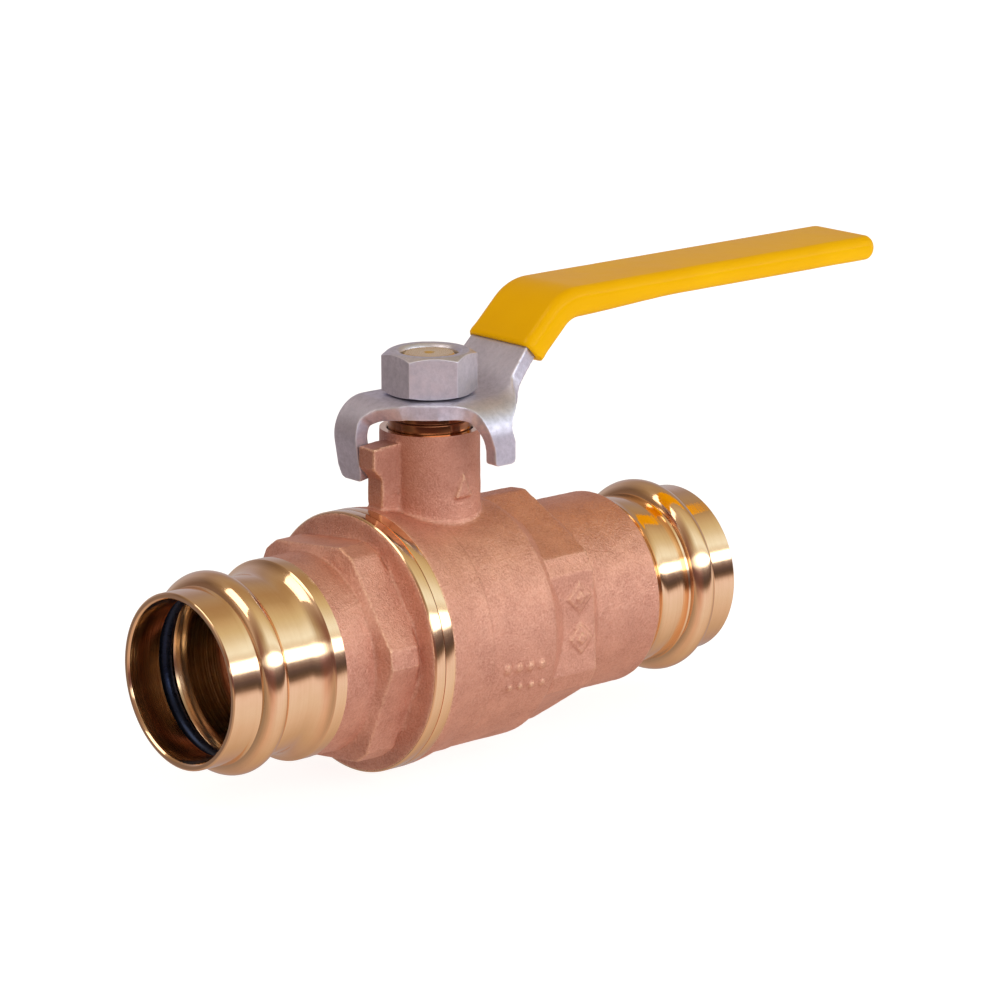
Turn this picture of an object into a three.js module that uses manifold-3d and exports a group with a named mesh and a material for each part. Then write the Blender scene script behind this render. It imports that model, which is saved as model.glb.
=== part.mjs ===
// Two-piece, full-port ball valve with press ends for 1-1/4 inch copper tube.
// Millimetres. +X runs along the pipe towards the outlet, +Z up the stem, and the origin is the
// ball's centre, where the pipe axis and the stem axis cross. The lever lies along +X, valve open.

import * as THREE from 'three';
import { mergeVertices } from 'three/addons/utils/BufferGeometryUtils.js';
import Module from 'manifold-3d';

const wasm = await Module();
wasm.setup();

// Driving dimensions

const GAP = 0.3;               // between pieces that rest on each other
const SEGMENTS = { x: 36, z: 24 }; // facets round a piece turned about the pipe or the stem
const WELD = 1e-4;

// Press ends, measured from each rim towards the ball
const INLET_RIM_X = -69.3;
const OUTLET_RIM_X = 74.4;
const SOCKET_RADIUS = 17.6;    // takes a 34.9 mm tube
const LIP_RADIUS = 19.1;
const MID_RADIUS = 19.3;
const BEAD_RADIUS = 22;
const BEAD_CENTRE = 10.6;
const BEAD_HALF_WIDTH = 3.4;
const BEAD_GROOVE_RADIUS = 20.5;
const BEAD_GROOVE_HALF = 2.3;
const LEAD_IN = 0.4;
const SEAL_SECTION_RADIUS = 1.5;
const SEAL_PROUD = 0.35;
const FLARE_START = 20.8;
const TUBE_STOP = 26;
const CAST_RADIUS = 21.8;      // as-cast neck behind each press end
const PORT_RADIUS = 15.5;

// Castings
const SEAM_X = -20;            // where the end cap meets the body
const RING_RADIUS = 28.7;
const RING_WIDTH = 2.7;
const TAPER_START_X = -16.5;   // the casting eases down from the ring to the barrel
const TAPER_END_X = -8.5;
const BARREL_RADIUS = 27.2;
const BARREL_STEP_X = -5.2;    // mould parting step
const BARREL_STEP = 0.2;
const BARREL_END_X = 11.5;
const SHOULDER_FOOT_X = 23.5;  // where the barrel's rear shoulder reaches the cast neck
const WRENCH_LAND_HALF = THREE.MathUtils.degToRad(4.8); // half the angle of each blunt corner
const REAR_HEX_LAND = 26.3;    // centre to a blunt corner
const REAR_HEX_TURN = THREE.MathUtils.degToRad(-32.9);
const REAR_HEX_START_X = 14;   // hidden inside the shoulder
const REAR_HEX_END_X = 30;
const REAR_HEX_CHAMFER = 3;
const CAP_HEX_LAND = 25.75;
const CAP_HEX_TURN = THREE.MathUtils.degToRad(-6.3);
const CAP_HEX_FRONT_X = -33.6;
const CAP_HEX_REAR_X = -24.2;
const CAP_HEX_CHAMFER = 1.3;
const FLANGE_EDGE = 0.4;
const THREAD_RADIUS = 25;      // the cap's spigot screws in here
const SPIGOT_NOSE_X = -11.3;
const CAVITY_RADIUS = 23.9;
const CAVITY_FRONT_X = -9.4;
const CAVITY_CHAMFER = 0.5;
const BODY_SEAL_RADIUS = 22.3;
const BODY_SEAL_WIDTH = 1.3;

// Ball and seats
const BALL_RADIUS = 23.5;
const SEAT_RADIUS = 21.2;
const SEAT_NOSE = 13;
const SEAT_BACK = 20.2;
const SLOT_HALF = 2.9;
const SLOT_FLOOR_Z = 17.5;

// Stem and neck, from the bottom up
const NECK_RADIUS = 11;
const NECK_TOP_Z = 44.6;
const NECK_RIM_CHAMFER = 0.7;
const NECK_FILLET_Z = 28.5;    // where the flare at the neck's foot ends
const NECK_FLARE = 2.4;
const SHOULDER_RADIUS = 8.05;
const SHOULDER_BORE_RADIUS = 8.4;
const SHOULDER_BOTTOM_Z = 24.2;
const SHOULDER_TOP_Z = 27.5;
const SHOULDER_STEP_Z = 29.5;
const WASHER_RADIUS = 8.1;
const WASHER_BOTTOM_Z = 27.75;
const WASHER_TOP_Z = 29.2;
const STEM_RADIUS = 6.05;
const STEM_BORE_RADIUS = 6.4;
const STEM_TOP_Z = 61;
const STEM_CHAMFER = 0.9;
const TANG_HALF_WIDTH = 6.8;
const FLATS_HALF = 4.3;
const CHAMBER_FLOOR_Z = 32;
const CHAMBER_RADIUS = 9.3;
const PACKING_RADIUS = CHAMBER_RADIUS - GAP;
const PACKING_BOTTOM_Z = 32.2;
const PACKING_RING_HEIGHT = 2.2;
const FOLLOWER_BOTTOM_Z = PACKING_BOTTOM_Z + 3 * (PACKING_RING_HEIGHT + GAP);
const FOLLOWER_HEIGHT = 1.9;
const PACKING_NUT_TOP_Z = 47.2;
const PACKING_NUT_GROOVE_Z = 45.2;
const PACKING_NUT_GROOVE = 0.7;
const PACKING_NUT_CHAMFER = 0.4;

// Stop lug on the neck
const LUG_HALF_WIDTH = 2.6;
const LUG_TOP_Z = 42.7;
const LUG_REACH = 18;
const LUG_LOWER_REACH = 15.5;
const LUG_STEP_Z = 37.6;
const LUG_LOWER_TOP_Z = 35.2;

// Lever, a bent steel plate
const PLATE = 3.4;
const HUB_BOTTOM_Z = 48.5;
const EAR_BEND_RADIUS = 6.3;
const STOP_EAR_BEND = { start: 10.44, turn: THREE.MathUtils.degToRad(100), drop: 8.6 };
const SIDE_EAR_BEND = { start: 10.7, turn: Math.PI / 2, drop: 5.6 };
const STOP_EAR_EDGE_Y = 10.4;
const SIDE_EAR_EDGE_X = 8.7;
const EAR_NOTCH_Z = 43.2;       // below here both ears stay clear of the lug
// Plan of the cut between the two ears, from the stop ear to the side ear
const ARCH_CUT = [
  [-16.6, 2.9], [-14.6, 0], [-12.5, -4.9], [-9.5, -8], [-6.3, -10.8], [-1.6, -13.4], [0, -15],
  [1, -17],
];
const SHOULDER_HALF_WIDTH = 10.4;
const SHOULDER_STEP_X = 16;    // the plate narrows from here to the arm's width
const SHOULDER_END_X = 21.5;
const ARM_HALF_WIDTH = 9.25;
const ARM_FOOT_X = 11.4;
const ARM_HEAD_X = 31.4;
const ARM_HEAD_Z = 69.25;
const ARM_TIP_X = 126.6;
const ARM_BEND_RADIUS = 10;
const ARM_TIP_CORNER = 2.5;
const HOLE_CLEARANCE = 0.2;

// Vinyl grip
const GRIP_THICKNESS = 5.7;
const GRIP_HALF_WIDTH = 10.5;
const GRIP_START_X = 21.3;
const GRIP_TIP_X = 128.2;
const GRIP_TIP_CORNER = 3.5;

// Lever nut
const NUT_ACROSS_FLATS = 18.2;
const NUT_BOTTOM_Z = 52.2;
const NUT_TOP_Z = 61.5;
const NUT_CHAMFER = 0.9;
const NUT_BORE_CHAMFER = 0.5;
const NUT_TURN = THREE.MathUtils.degToRad(25);

const HUB_MIDDLE_Z = HUB_BOTTOM_Z + PLATE / 2;
const FAR = 200;               // longer than any piece, for cutting blocks

// Solids

function solidOf(geometry) {
  geometry.deleteAttribute('normal');
  geometry.deleteAttribute('uv');
  const merged = mergeVertices(geometry, WELD);
  const index = merged.index.array;
  const triangles = [];
  for (let i = 0; i < index.length; i += 3) {
    const [a, b, c] = index.slice(i, i + 3);
    if (a !== b && b !== c && c !== a) triangles.push(a, b, c);
  }
  const mesh = new wasm.Mesh({
    numProp: 3,
    vertProperties: new Float32Array(merged.attributes.position.array),
    triVerts: new Uint32Array(triangles),
  });
  return new wasm.Manifold(mesh);
}

function geometryOf(solid) {
  const mesh = solid.getMesh();
  const geometry = new THREE.BufferGeometry();
  geometry.setAttribute('position', new THREE.BufferAttribute(mesh.vertProperties, mesh.numProp));
  geometry.setIndex(new THREE.BufferAttribute(mesh.triVerts, 1));
  geometry.computeVertexNormals();
  return geometry;
}

// Turns an outline of [distance along the axis, radius] points about the X axis or the Z axis.
function turned(outline, axis = 'x') {
  let area = 0;
  outline.forEach(([along, radius], i) => {
    const [nextAlong, nextRadius] = outline[(i + 1) % outline.length];
    area += radius * nextAlong - nextRadius * along;
  });
  const ordered = area > 0 ? [...outline] : [...outline].reverse();
  ordered.push(ordered[0]);
  const points = ordered.map(([along, radius]) => new THREE.Vector2(radius, along));
  const geometry = new THREE.LatheGeometry(points, SEGMENTS[axis]);
  if (axis === 'x') geometry.rotateZ(-Math.PI / 2);
  else geometry.rotateX(Math.PI / 2);
  return solidOf(geometry);
}

function bar(axis, radius, from, to) {
  return turned([[from, 0], [from, radius], [to, radius], [to, 0]], axis);
}

function ring(axis, inner, outer, from, to) {
  return turned([[from, inner], [from, outer], [to, outer], [to, inner]], axis);
}

function block(low, high) {
  const size = high.map((value, i) => value - low[i]);
  const centre = high.map((value, i) => (value + low[i]) / 2);
  return solidOf(new THREE.BoxGeometry(...size).translate(...centre));
}

// A flat outline pushed along Z, X or Y from one station to another. The outline is drawn in the
// plane that the axis is normal to: XY for z, YZ for x and XZ for y.
function pushed(outline, axis, from, to) {
  const shape = new THREE.Shape(outline.map(([u, v]) => new THREE.Vector2(u, v)));
  const geometry = new THREE.ExtrudeGeometry(shape, { depth: to - from, bevelEnabled: false });
  if (axis === 'z') geometry.translate(0, 0, from);
  if (axis === 'x') geometry.rotateX(Math.PI / 2).rotateZ(Math.PI / 2).translate(from, 0, 0);
  if (axis === 'y') geometry.rotateX(Math.PI / 2).translate(0, to, 0);
  return solidOf(geometry);
}

function arc(centreU, centreV, radius, startAngle, endAngle, steps) {
  return Array.from({ length: steps + 1 }, (_, i) => {
    const angle = startAngle + ((endAngle - startAngle) * i) / steps;
    return [centreU + radius * Math.cos(angle), centreV + radius * Math.sin(angle)];
  });
}

function hexagon(cornerRadius, turn) {
  return arc(0, 0, cornerRadius, turn, turn + (5 * Math.PI) / 3, 5);
}

// A smooth fall from one radius to another along the axis, level at both ends.
function eased(fromAlong, fromRadius, toAlong, toRadius, steps) {
  return Array.from({ length: steps + 1 }, (_, i) => {
    const share = i / steps;
    const fall = share * share * (3 - 2 * share);
    return [fromAlong + (toAlong - fromAlong) * share, fromRadius + (toRadius - fromRadius) * fall];
  });
}

// Press end, shared by both castings

// Outside of a press end, from the rim to the as-cast neck, as [depth from the rim, radius].
function pressEndOutside() {
  const height = BEAD_RADIUS - MID_RADIUS;
  const radius = (BEAD_HALF_WIDTH ** 2 + height ** 2) / (2 * height);
  const reach = Math.asin(BEAD_HALF_WIDTH / radius);
  const up = Math.PI / 2;
  const bead = arc(BEAD_CENTRE, BEAD_RADIUS - radius, radius, up + reach, up - reach, 6);
  const rise = CAST_RADIUS - MID_RADIUS;
  const run = TUBE_STOP - FLARE_START;
  const flareRadius = (run ** 2 + rise ** 2) / (2 * rise);
  const sweep = Math.asin(run / flareRadius);
  const flare = arc(FLARE_START, MID_RADIUS + flareRadius, flareRadius, -up, -up + sweep, 4);
  return [[0, LIP_RADIUS - LEAD_IN], [LEAD_IN, LIP_RADIUS], ...bead, ...flare];
}

// Inside of a press end, from the tube stop back out to the rim.
function pressEndInside() {
  const mouth = BEAD_GROOVE_HALF;
  const floor = BEAD_GROOVE_HALF - LEAD_IN;
  return [
    [TUBE_STOP, PORT_RADIUS],
    [TUBE_STOP, SOCKET_RADIUS],
    [BEAD_CENTRE + mouth, SOCKET_RADIUS],
    [BEAD_CENTRE + floor, BEAD_GROOVE_RADIUS],
    [BEAD_CENTRE - floor, BEAD_GROOVE_RADIUS],
    [BEAD_CENTRE - mouth, SOCKET_RADIUS],
    [LEAD_IN, SOCKET_RADIUS],
    [0, SOCKET_RADIUS + LEAD_IN],
  ];
}

function fromInletRim([depth, radius]) {
  return [INLET_RIM_X + depth, radius];
}

function fromOutletRim([depth, radius]) {
  return [OUTLET_RIM_X - depth, radius];
}

// A hexagonal wrench section along X with blunt corners, its ends turned to the given outline.
function wrenchHexagon(landRadius, turn, outline) {
  const xs = outline.map(([x]) => x);
  const cornerRadius = landRadius / Math.cos(WRENCH_LAND_HALF);
  const plan = hexagon(cornerRadius, turn).flatMap(([y, z]) => {
    const angle = Math.atan2(z, y);
    return arc(0, 0, cornerRadius, angle - WRENCH_LAND_HALF, angle + WRENCH_LAND_HALF, 1);
  });
  const prism = pushed(plan, 'x', Math.min(...xs), Math.max(...xs));
  return prism.intersect(turned(outline));
}

// Housing

// What is hollow inside the body, from the cap's thread through to the outlet socket.
function bodyHollow() {
  return [
    [SEAT_BACK + GAP, PORT_RADIUS],
    [SEAT_BACK + GAP, SEAT_RADIUS + GAP],
    [-SPIGOT_NOSE_X, SEAT_RADIUS + GAP],
    [-SPIGOT_NOSE_X - CAVITY_CHAMFER, CAVITY_RADIUS],
    [CAVITY_FRONT_X, CAVITY_RADIUS],
    [CAVITY_FRONT_X, THREAD_RADIUS],
  ];
}

function neckWithLug() {
  const neck = turned([
    [BALL_RADIUS, 0],
    [BALL_RADIUS, NECK_RADIUS + NECK_FLARE],
    [NECK_FILLET_Z - NECK_FLARE, NECK_RADIUS + NECK_FLARE / 2],
    [NECK_FILLET_Z, NECK_RADIUS],
    [NECK_TOP_Z, NECK_RADIUS],
    [NECK_TOP_Z, 0],
  ], 'z');
  const root = NECK_RADIUS - NECK_FLARE;
  const lug = pushed([
    [-root, BALL_RADIUS],
    [-root, LUG_TOP_Z],
    [-LUG_REACH, LUG_TOP_Z],
    [-LUG_REACH, LUG_STEP_Z],
    [-LUG_LOWER_REACH, LUG_LOWER_TOP_Z],
    [-LUG_LOWER_REACH, BALL_RADIUS],
  ], 'y', -LUG_HALF_WIDTH, LUG_HALF_WIDTH);
  return neck.add(lug);
}

function stemBore() {
  const overTop = NECK_TOP_Z + GAP;
  const chamber = turned([
    [CHAMBER_FLOOR_Z, 0],
    [CHAMBER_FLOOR_Z, CHAMBER_RADIUS],
    [NECK_TOP_Z - NECK_RIM_CHAMFER, CHAMBER_RADIUS],
    [overTop, CHAMBER_RADIUS + NECK_RIM_CHAMFER + GAP],
    [overTop, 0],
  ], 'z');
  return bar('z', SHOULDER_BORE_RADIUS, 0, SHOULDER_STEP_Z)
    .add(bar('z', STEM_BORE_RADIUS, 0, NECK_TOP_Z))
    .add(chamber);
}

function bodyCasting() {
  const front = SEAM_X + GAP / 2;
  const shell = turned([
    [front, THREAD_RADIUS],
    [front, RING_RADIUS],
    ...eased(TAPER_START_X, RING_RADIUS, TAPER_END_X, BARREL_RADIUS + BARREL_STEP, 4),
    [BARREL_STEP_X, BARREL_RADIUS + BARREL_STEP],
    [BARREL_STEP_X + BARREL_STEP, BARREL_RADIUS],
    ...eased(BARREL_END_X, BARREL_RADIUS, SHOULDER_FOOT_X, CAST_RADIUS, 6),
    ...pressEndOutside().reverse().map(fromOutletRim),
    ...pressEndInside().reverse().map(fromOutletRim),
    ...bodyHollow(),
  ]);
  const rearHexagon = wrenchHexagon(REAR_HEX_LAND, REAR_HEX_TURN, [
    [REAR_HEX_START_X, 0],
    [REAR_HEX_START_X, BARREL_RADIUS],
    [REAR_HEX_END_X - REAR_HEX_CHAMFER, BARREL_RADIUS],
    [REAR_HEX_END_X, CAST_RADIUS],
    [REAR_HEX_END_X, 0],
  ]);
  const hollow = turned([
    [FAR, 0],
    [FAR, PORT_RADIUS],
    ...bodyHollow(),
    [-FAR, THREAD_RADIUS],
    [-FAR, 0],
  ]);
  return shell
    .add(rearHexagon.add(neckWithLug()).subtract(hollow))
    .subtract(stemBore());
}

function capCasting() {
  const outside = [
    ...pressEndOutside().map(fromInletRim),
    [CAP_HEX_REAR_X - FLANGE_EDGE, CAST_RADIUS],
    [SEAM_X - RING_WIDTH, RING_RADIUS - FLANGE_EDGE],
    [SEAM_X - RING_WIDTH + FLANGE_EDGE, RING_RADIUS],
    [SEAM_X - GAP / 2, RING_RADIUS],
    [SEAM_X - GAP / 2, THREAD_RADIUS - GAP],
    [SPIGOT_NOSE_X, THREAD_RADIUS - GAP],
  ];
  const inside = [
    [SPIGOT_NOSE_X, SEAT_RADIUS + GAP],
    [-SEAT_BACK - GAP, SEAT_RADIUS + GAP],
    [-SEAT_BACK - GAP, PORT_RADIUS],
    ...pressEndInside().map(fromInletRim),
  ];
  const shell = turned([...outside, ...inside]);
  const hexagonSection = wrenchHexagon(CAP_HEX_LAND, CAP_HEX_TURN, [
    [CAP_HEX_FRONT_X, SOCKET_RADIUS],
    [CAP_HEX_FRONT_X, CAST_RADIUS],
    [CAP_HEX_FRONT_X + CAP_HEX_CHAMFER, RING_RADIUS],
    [CAP_HEX_REAR_X, RING_RADIUS],
    [CAP_HEX_REAR_X, SOCKET_RADIUS],
  ]);
  return shell.add(hexagonSection);
}

// O-ring in a press end's bead, standing slightly proud of the socket wall.
function pressSeal(centreX) {
  const sides = 8;
  const proud = SOCKET_RADIUS - SEAL_PROUD + SEAL_SECTION_RADIUS;
  const last = (2 * Math.PI * (sides - 1)) / sides;
  return turned(arc(centreX, proud, SEAL_SECTION_RADIUS, 0, last, sides - 1));
}

function bodySealRing() {
  const back = CAVITY_FRONT_X - GAP;
  return ring('x', BODY_SEAL_RADIUS, THREAD_RADIUS - GAP, back - BODY_SEAL_WIDTH, back);
}

// Floating ball, its slot across the port

function ball() {
  const sphere = solidOf(new THREE.SphereGeometry(BALL_RADIUS, SEGMENTS.x, 20).rotateX(Math.PI / 2));
  const slot = block([-SLOT_HALF, -FAR, SLOT_FLOOR_Z], [SLOT_HALF, FAR, FAR]);
  return sphere.subtract(bar('x', PORT_RADIUS, -FAR, FAR)).subtract(slot);
}

// Seat on the outlet side; the inlet seat is its mirror image (side -1).
function seat(side) {
  const face = BALL_RADIUS + GAP;
  const start = Math.acos(SEAT_NOSE / face);
  const end = Math.asin(PORT_RADIUS / face);
  const outline = [
    ...arc(0, 0, face, start, end, 5),
    [SEAT_BACK, PORT_RADIUS],
    [SEAT_BACK, SEAT_RADIUS],
    [SEAT_NOSE, SEAT_RADIUS],
  ];
  return turned(outline.map(([x, radius]) => [side * x, radius]));
}

// Stem and its packing

function stem() {
  const shank = turned([
    [SHOULDER_BOTTOM_Z, 0],
    [SHOULDER_BOTTOM_Z, SHOULDER_RADIUS],
    [SHOULDER_TOP_Z, SHOULDER_RADIUS],
    [SHOULDER_TOP_Z, STEM_RADIUS],
    [STEM_TOP_Z - STEM_CHAMFER, STEM_RADIUS],
    [STEM_TOP_Z, STEM_RADIUS - STEM_CHAMFER],
    [STEM_TOP_Z, 0],
  ], 'z');
  const tangHalf = SLOT_HALF - GAP;
  const tang = block(
    [-tangHalf, -TANG_HALF_WIDTH, SLOT_FLOOR_Z + GAP],
    [tangHalf, TANG_HALF_WIDTH, SHOULDER_TOP_Z],
  );
  const flatsTop = NUT_BOTTOM_Z - GAP / 2;
  const flats = [-1, 1].map((side) => {
    const near = side * FLATS_HALF;
    const far = side * FAR;
    return block(
      [-FAR, Math.min(near, far), HUB_BOTTOM_Z - GAP],
      [FAR, Math.max(near, far), flatsTop],
    );
  });
  return shank.add(tang).subtract(flats[0]).subtract(flats[1]);
}

function thrustWasher() {
  return ring('z', STEM_BORE_RADIUS, WASHER_RADIUS, WASHER_BOTTOM_Z, WASHER_TOP_Z);
}

function packingRing(level) {
  const bottom = PACKING_BOTTOM_Z + level * (PACKING_RING_HEIGHT + GAP);
  return ring('z', STEM_BORE_RADIUS, PACKING_RADIUS, bottom, bottom + PACKING_RING_HEIGHT);
}

function glandFollower() {
  const top = FOLLOWER_BOTTOM_Z + FOLLOWER_HEIGHT;
  return ring('z', STEM_BORE_RADIUS, PACKING_RADIUS, FOLLOWER_BOTTOM_Z, top);
}

function packingNut() {
  const bottom = FOLLOWER_BOTTOM_Z + FOLLOWER_HEIGHT + GAP;
  const grooveTop = PACKING_NUT_GROOVE_Z + PACKING_NUT_GROOVE;
  return turned([
    [bottom, STEM_BORE_RADIUS],
    [bottom, PACKING_RADIUS],
    [PACKING_NUT_GROOVE_Z, PACKING_RADIUS],
    [PACKING_NUT_GROOVE_Z, PACKING_RADIUS - PACKING_NUT_GROOVE],
    [grooveTop, PACKING_RADIUS - PACKING_NUT_GROOVE],
    [grooveTop, PACKING_RADIUS],
    [PACKING_NUT_TOP_Z - PACKING_NUT_CHAMFER, PACKING_RADIUS],
    [PACKING_NUT_TOP_Z, PACKING_RADIUS - PACKING_NUT_CHAMFER],
    [PACKING_NUT_TOP_Z, STEM_BORE_RADIUS],
  ], 'z');
}

// Lever

// Outline of a plate bent along a centre line with corners, each bend an arc of the given radius.
function bentPlate(corners, bendRadius, thickness) {
  const left = [];
  const right = [];
  const addStation = (point, direction) => {
    const normal = new THREE.Vector2(-direction.y, direction.x).multiplyScalar(thickness / 2);
    left.push([point.x + normal.x, point.y + normal.y]);
    right.unshift([point.x - normal.x, point.y - normal.y]);
  };
  const points = corners.map(([u, v]) => new THREE.Vector2(u, v));
  const directions = points.slice(1).map((point, i) => point.clone().sub(points[i]).normalize());
  addStation(points[0], directions[0]);
  for (let i = 1; i < points.length - 1; i += 1) {
    const before = directions[i - 1];
    const after = directions[i];
    const turn = Math.atan2(before.cross(after), before.dot(after));
    const steps = 5;
    const cut = bendRadius * Math.tan(Math.abs(turn) / 2);
    const start = points[i].clone().addScaledVector(before, -cut);
    const side = new THREE.Vector2(-before.y, before.x);
    const centre = start.clone().addScaledVector(side, Math.sign(turn) * bendRadius);
    for (let step = 0; step <= steps; step += 1) {
      const angle = (turn * step) / steps;
      const point = start.clone().rotateAround(centre, angle);
      addStation(point, before.clone().rotateAround(new THREE.Vector2(), angle));
    }
  }
  addStation(points.at(-1), directions.at(-1));
  return [...left, ...right];
}

function armSide(startX, startZ, tipX, thickness) {
  const corners = [[startX, startZ], [ARM_HEAD_X, ARM_HEAD_Z], [tipX, ARM_HEAD_Z]];
  if (startX < ARM_FOOT_X) corners.splice(1, 0, [ARM_FOOT_X, HUB_MIDDLE_Z]);
  return pushed(bentPlate(corners, ARM_BEND_RADIUS, thickness), 'y', -FAR, FAR);
}

// Plan of a strip about the X axis with a rounded tip.
function roundedStrip(startX, halfWidth, tipX, cornerRadius) {
  const x = tipX - cornerRadius;
  const y = halfWidth - cornerRadius;
  return [
    [startX, -halfWidth],
    ...arc(x, -y, cornerRadius, -Math.PI / 2, 0, 5),
    ...arc(x, y, cornerRadius, 0, Math.PI / 2, 5),
    [startX, halfWidth],
  ];
}

// Side view of an ear: flat under the nut, then bent down, with a straight length below the bend.
function earSide({ start, turn, drop }) {
  const cut = EAR_BEND_RADIUS * Math.tan(turn / 2);
  const corner = [-start - cut, HUB_MIDDLE_Z];
  const length = cut + drop;
  const end = [corner[0] - length * Math.cos(turn), corner[1] - length * Math.sin(turn)];
  return bentPlate([[0, HUB_MIDDLE_Z], corner, end], EAR_BEND_RADIUS, PLATE);
}

// The stop ear hangs on the inlet side and the side ear on the -Y side, each just past the lug's
// edge at one end of the lever's travel. The plate between them is cut back to an arch.
function lever() {
  const stopEar = pushed(earSide(STOP_EAR_BEND), 'y', -SIDE_EAR_BEND.start, STOP_EAR_EDGE_Y);
  const sideEar = pushed(earSide(SIDE_EAR_BEND), 'x', -STOP_EAR_BEND.start, SIDE_EAR_EDGE_X);
  const arm = armSide(0, HUB_MIDDLE_Z, ARM_TIP_X, PLATE);
  const armPlan = pushed(roundedStrip(0, ARM_HALF_WIDTH, ARM_TIP_X, ARM_TIP_CORNER), 'z', 0, FAR);
  const shoulder = pushed([
    [0, -SHOULDER_HALF_WIDTH],
    [SHOULDER_STEP_X, -SHOULDER_HALF_WIDTH],
    [SHOULDER_END_X, -ARM_HALF_WIDTH],
    [SHOULDER_END_X, ARM_HALF_WIDTH],
    [SIDE_EAR_EDGE_X, STOP_EAR_EDGE_Y],
    [0, STOP_EAR_EDGE_Y],
  ], 'z', 0, FAR);
  const [, archTopY] = ARCH_CUT[0];
  const [archEndX] = ARCH_CUT.at(-1);
  const arch = pushed([
    [-FAR, archTopY],
    ...ARCH_CUT,
    [archEndX, -FAR],
    [-FAR, -FAR],
  ], 'z', 0, FAR);
  const stopEdge = LUG_HALF_WIDTH + GAP;
  const lugRoom = block([-FAR, -FAR, 0], [stopEdge, stopEdge, EAR_NOTCH_Z]);
  const hole = FLATS_HALF + HOLE_CLEARANCE;
  const hubHole = bar('z', STEM_RADIUS + HOLE_CLEARANCE, 0, NUT_BOTTOM_Z)
    .intersect(block([-FAR, -hole, 0], [FAR, hole, FAR]));
  return arm.intersect(armPlan.add(shoulder))
    .add(stopEar)
    .add(sideEar)
    .subtract(arch)
    .subtract(lugRoom)
    .subtract(hubHole);
}

function grip() {
  const slope = (ARM_HEAD_Z - HUB_MIDDLE_Z) / (ARM_HEAD_X - ARM_FOOT_X);
  const onSlope = (x) => [x, HUB_MIDDLE_Z + slope * (x - ARM_FOOT_X)];
  const outside = armSide(...onSlope(GRIP_START_X), GRIP_TIP_X, GRIP_THICKNESS)
    .intersect(pushed(roundedStrip(0, GRIP_HALF_WIDTH, GRIP_TIP_X, GRIP_TIP_CORNER), 'z', 0, FAR));
  const roomTip = ARM_TIP_X + GAP;
  const room = armSide(...onSlope(GRIP_START_X - 2), roomTip, PLATE + 2 * GAP)
    .intersect(pushed(roundedStrip(0, ARM_HALF_WIDTH + GAP, roomTip, ARM_TIP_CORNER), 'z', 0, FAR));
  return outside.subtract(room);
}

function leverNut() {
  const cornerRadius = NUT_ACROSS_FLATS / Math.sqrt(3);
  const flatRadius = NUT_ACROSS_FLATS / 2;
  const boreRadius = STEM_RADIUS + GAP;
  const chamfered = turned([
    [NUT_BOTTOM_Z, boreRadius],
    [NUT_BOTTOM_Z, flatRadius],
    [NUT_BOTTOM_Z + NUT_CHAMFER, cornerRadius],
    [NUT_TOP_Z - NUT_CHAMFER, cornerRadius],
    [NUT_TOP_Z, flatRadius],
    [NUT_TOP_Z, boreRadius + NUT_BORE_CHAMFER],
    [NUT_TOP_Z - NUT_BORE_CHAMFER, boreRadius],
  ], 'z');
  return pushed(hexagon(cornerRadius, NUT_TURN), 'z', 0, FAR).intersect(chamfered);
}

// Materials and the assembly

const CAST_BRONZE = { color: 0xb98468, roughness: 0.55, metalness: 0.85 };
const CHROME = { color: 0xd8dadc, roughness: 0.12, metalness: 1 };
const PTFE = { color: 0xf2f1ec, roughness: 0.5, metalness: 0 };
const EPDM = { color: 0x16171a, roughness: 0.45, metalness: 0 };
const BRASS = { color: 0xc9a45c, roughness: 0.3, metalness: 1 };
const ZINC_PLATED_STEEL = { color: 0xa3a5a3, roughness: 0.4, metalness: 0.9 };
const YELLOW_VINYL = { color: 0xe9b010, roughness: 0.35, metalness: 0 };

const valve = new THREE.Group();

function addPiece(name, solid, look) {
  const mesh = new THREE.Mesh(geometryOf(solid), new THREE.MeshStandardMaterial(look));
  mesh.name = name;
  valve.add(mesh);
}

addPiece('valve_body', bodyCasting(), CAST_BRONZE);
addPiece('end_cap', capCasting(), CAST_BRONZE);
addPiece('body_seal_ring', bodySealRing(), PTFE);
addPiece('inlet_press_seal', pressSeal(INLET_RIM_X + BEAD_CENTRE), EPDM);
addPiece('outlet_press_seal', pressSeal(OUTLET_RIM_X - BEAD_CENTRE), EPDM);
addPiece('inlet_seat', seat(-1), PTFE);
addPiece('outlet_seat', seat(1), PTFE);
addPiece('ball', ball(), CHROME);
addPiece('stem', stem(), BRASS);
addPiece('stem_thrust_washer', thrustWasher(), PTFE);
['lower', 'middle', 'upper'].forEach((place, level) => {
  addPiece(`packing_ring_${place}`, packingRing(level), PTFE);
});
addPiece('gland_follower', glandFollower(), BRASS);
addPiece('packing_nut', packingNut(), BRASS);
addPiece('lever', lever(), ZINC_PLATED_STEEL);
addPiece('lever_grip', grip(), YELLOW_VINYL);
addPiece('lever_nut', leverNut(), ZINC_PLATED_STEEL);

export default valve;
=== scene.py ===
"""Looks for a two-piece, full-port ball valve with press ends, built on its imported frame.

Shapes are drawn in millimetres, with +X along the pipe and +Z up the stem, and are brought to the
frame's metres once each piece is finished.
"""

import math

import bmesh
import bpy
import numpy as np
from mathutils import Matrix, Vector


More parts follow.
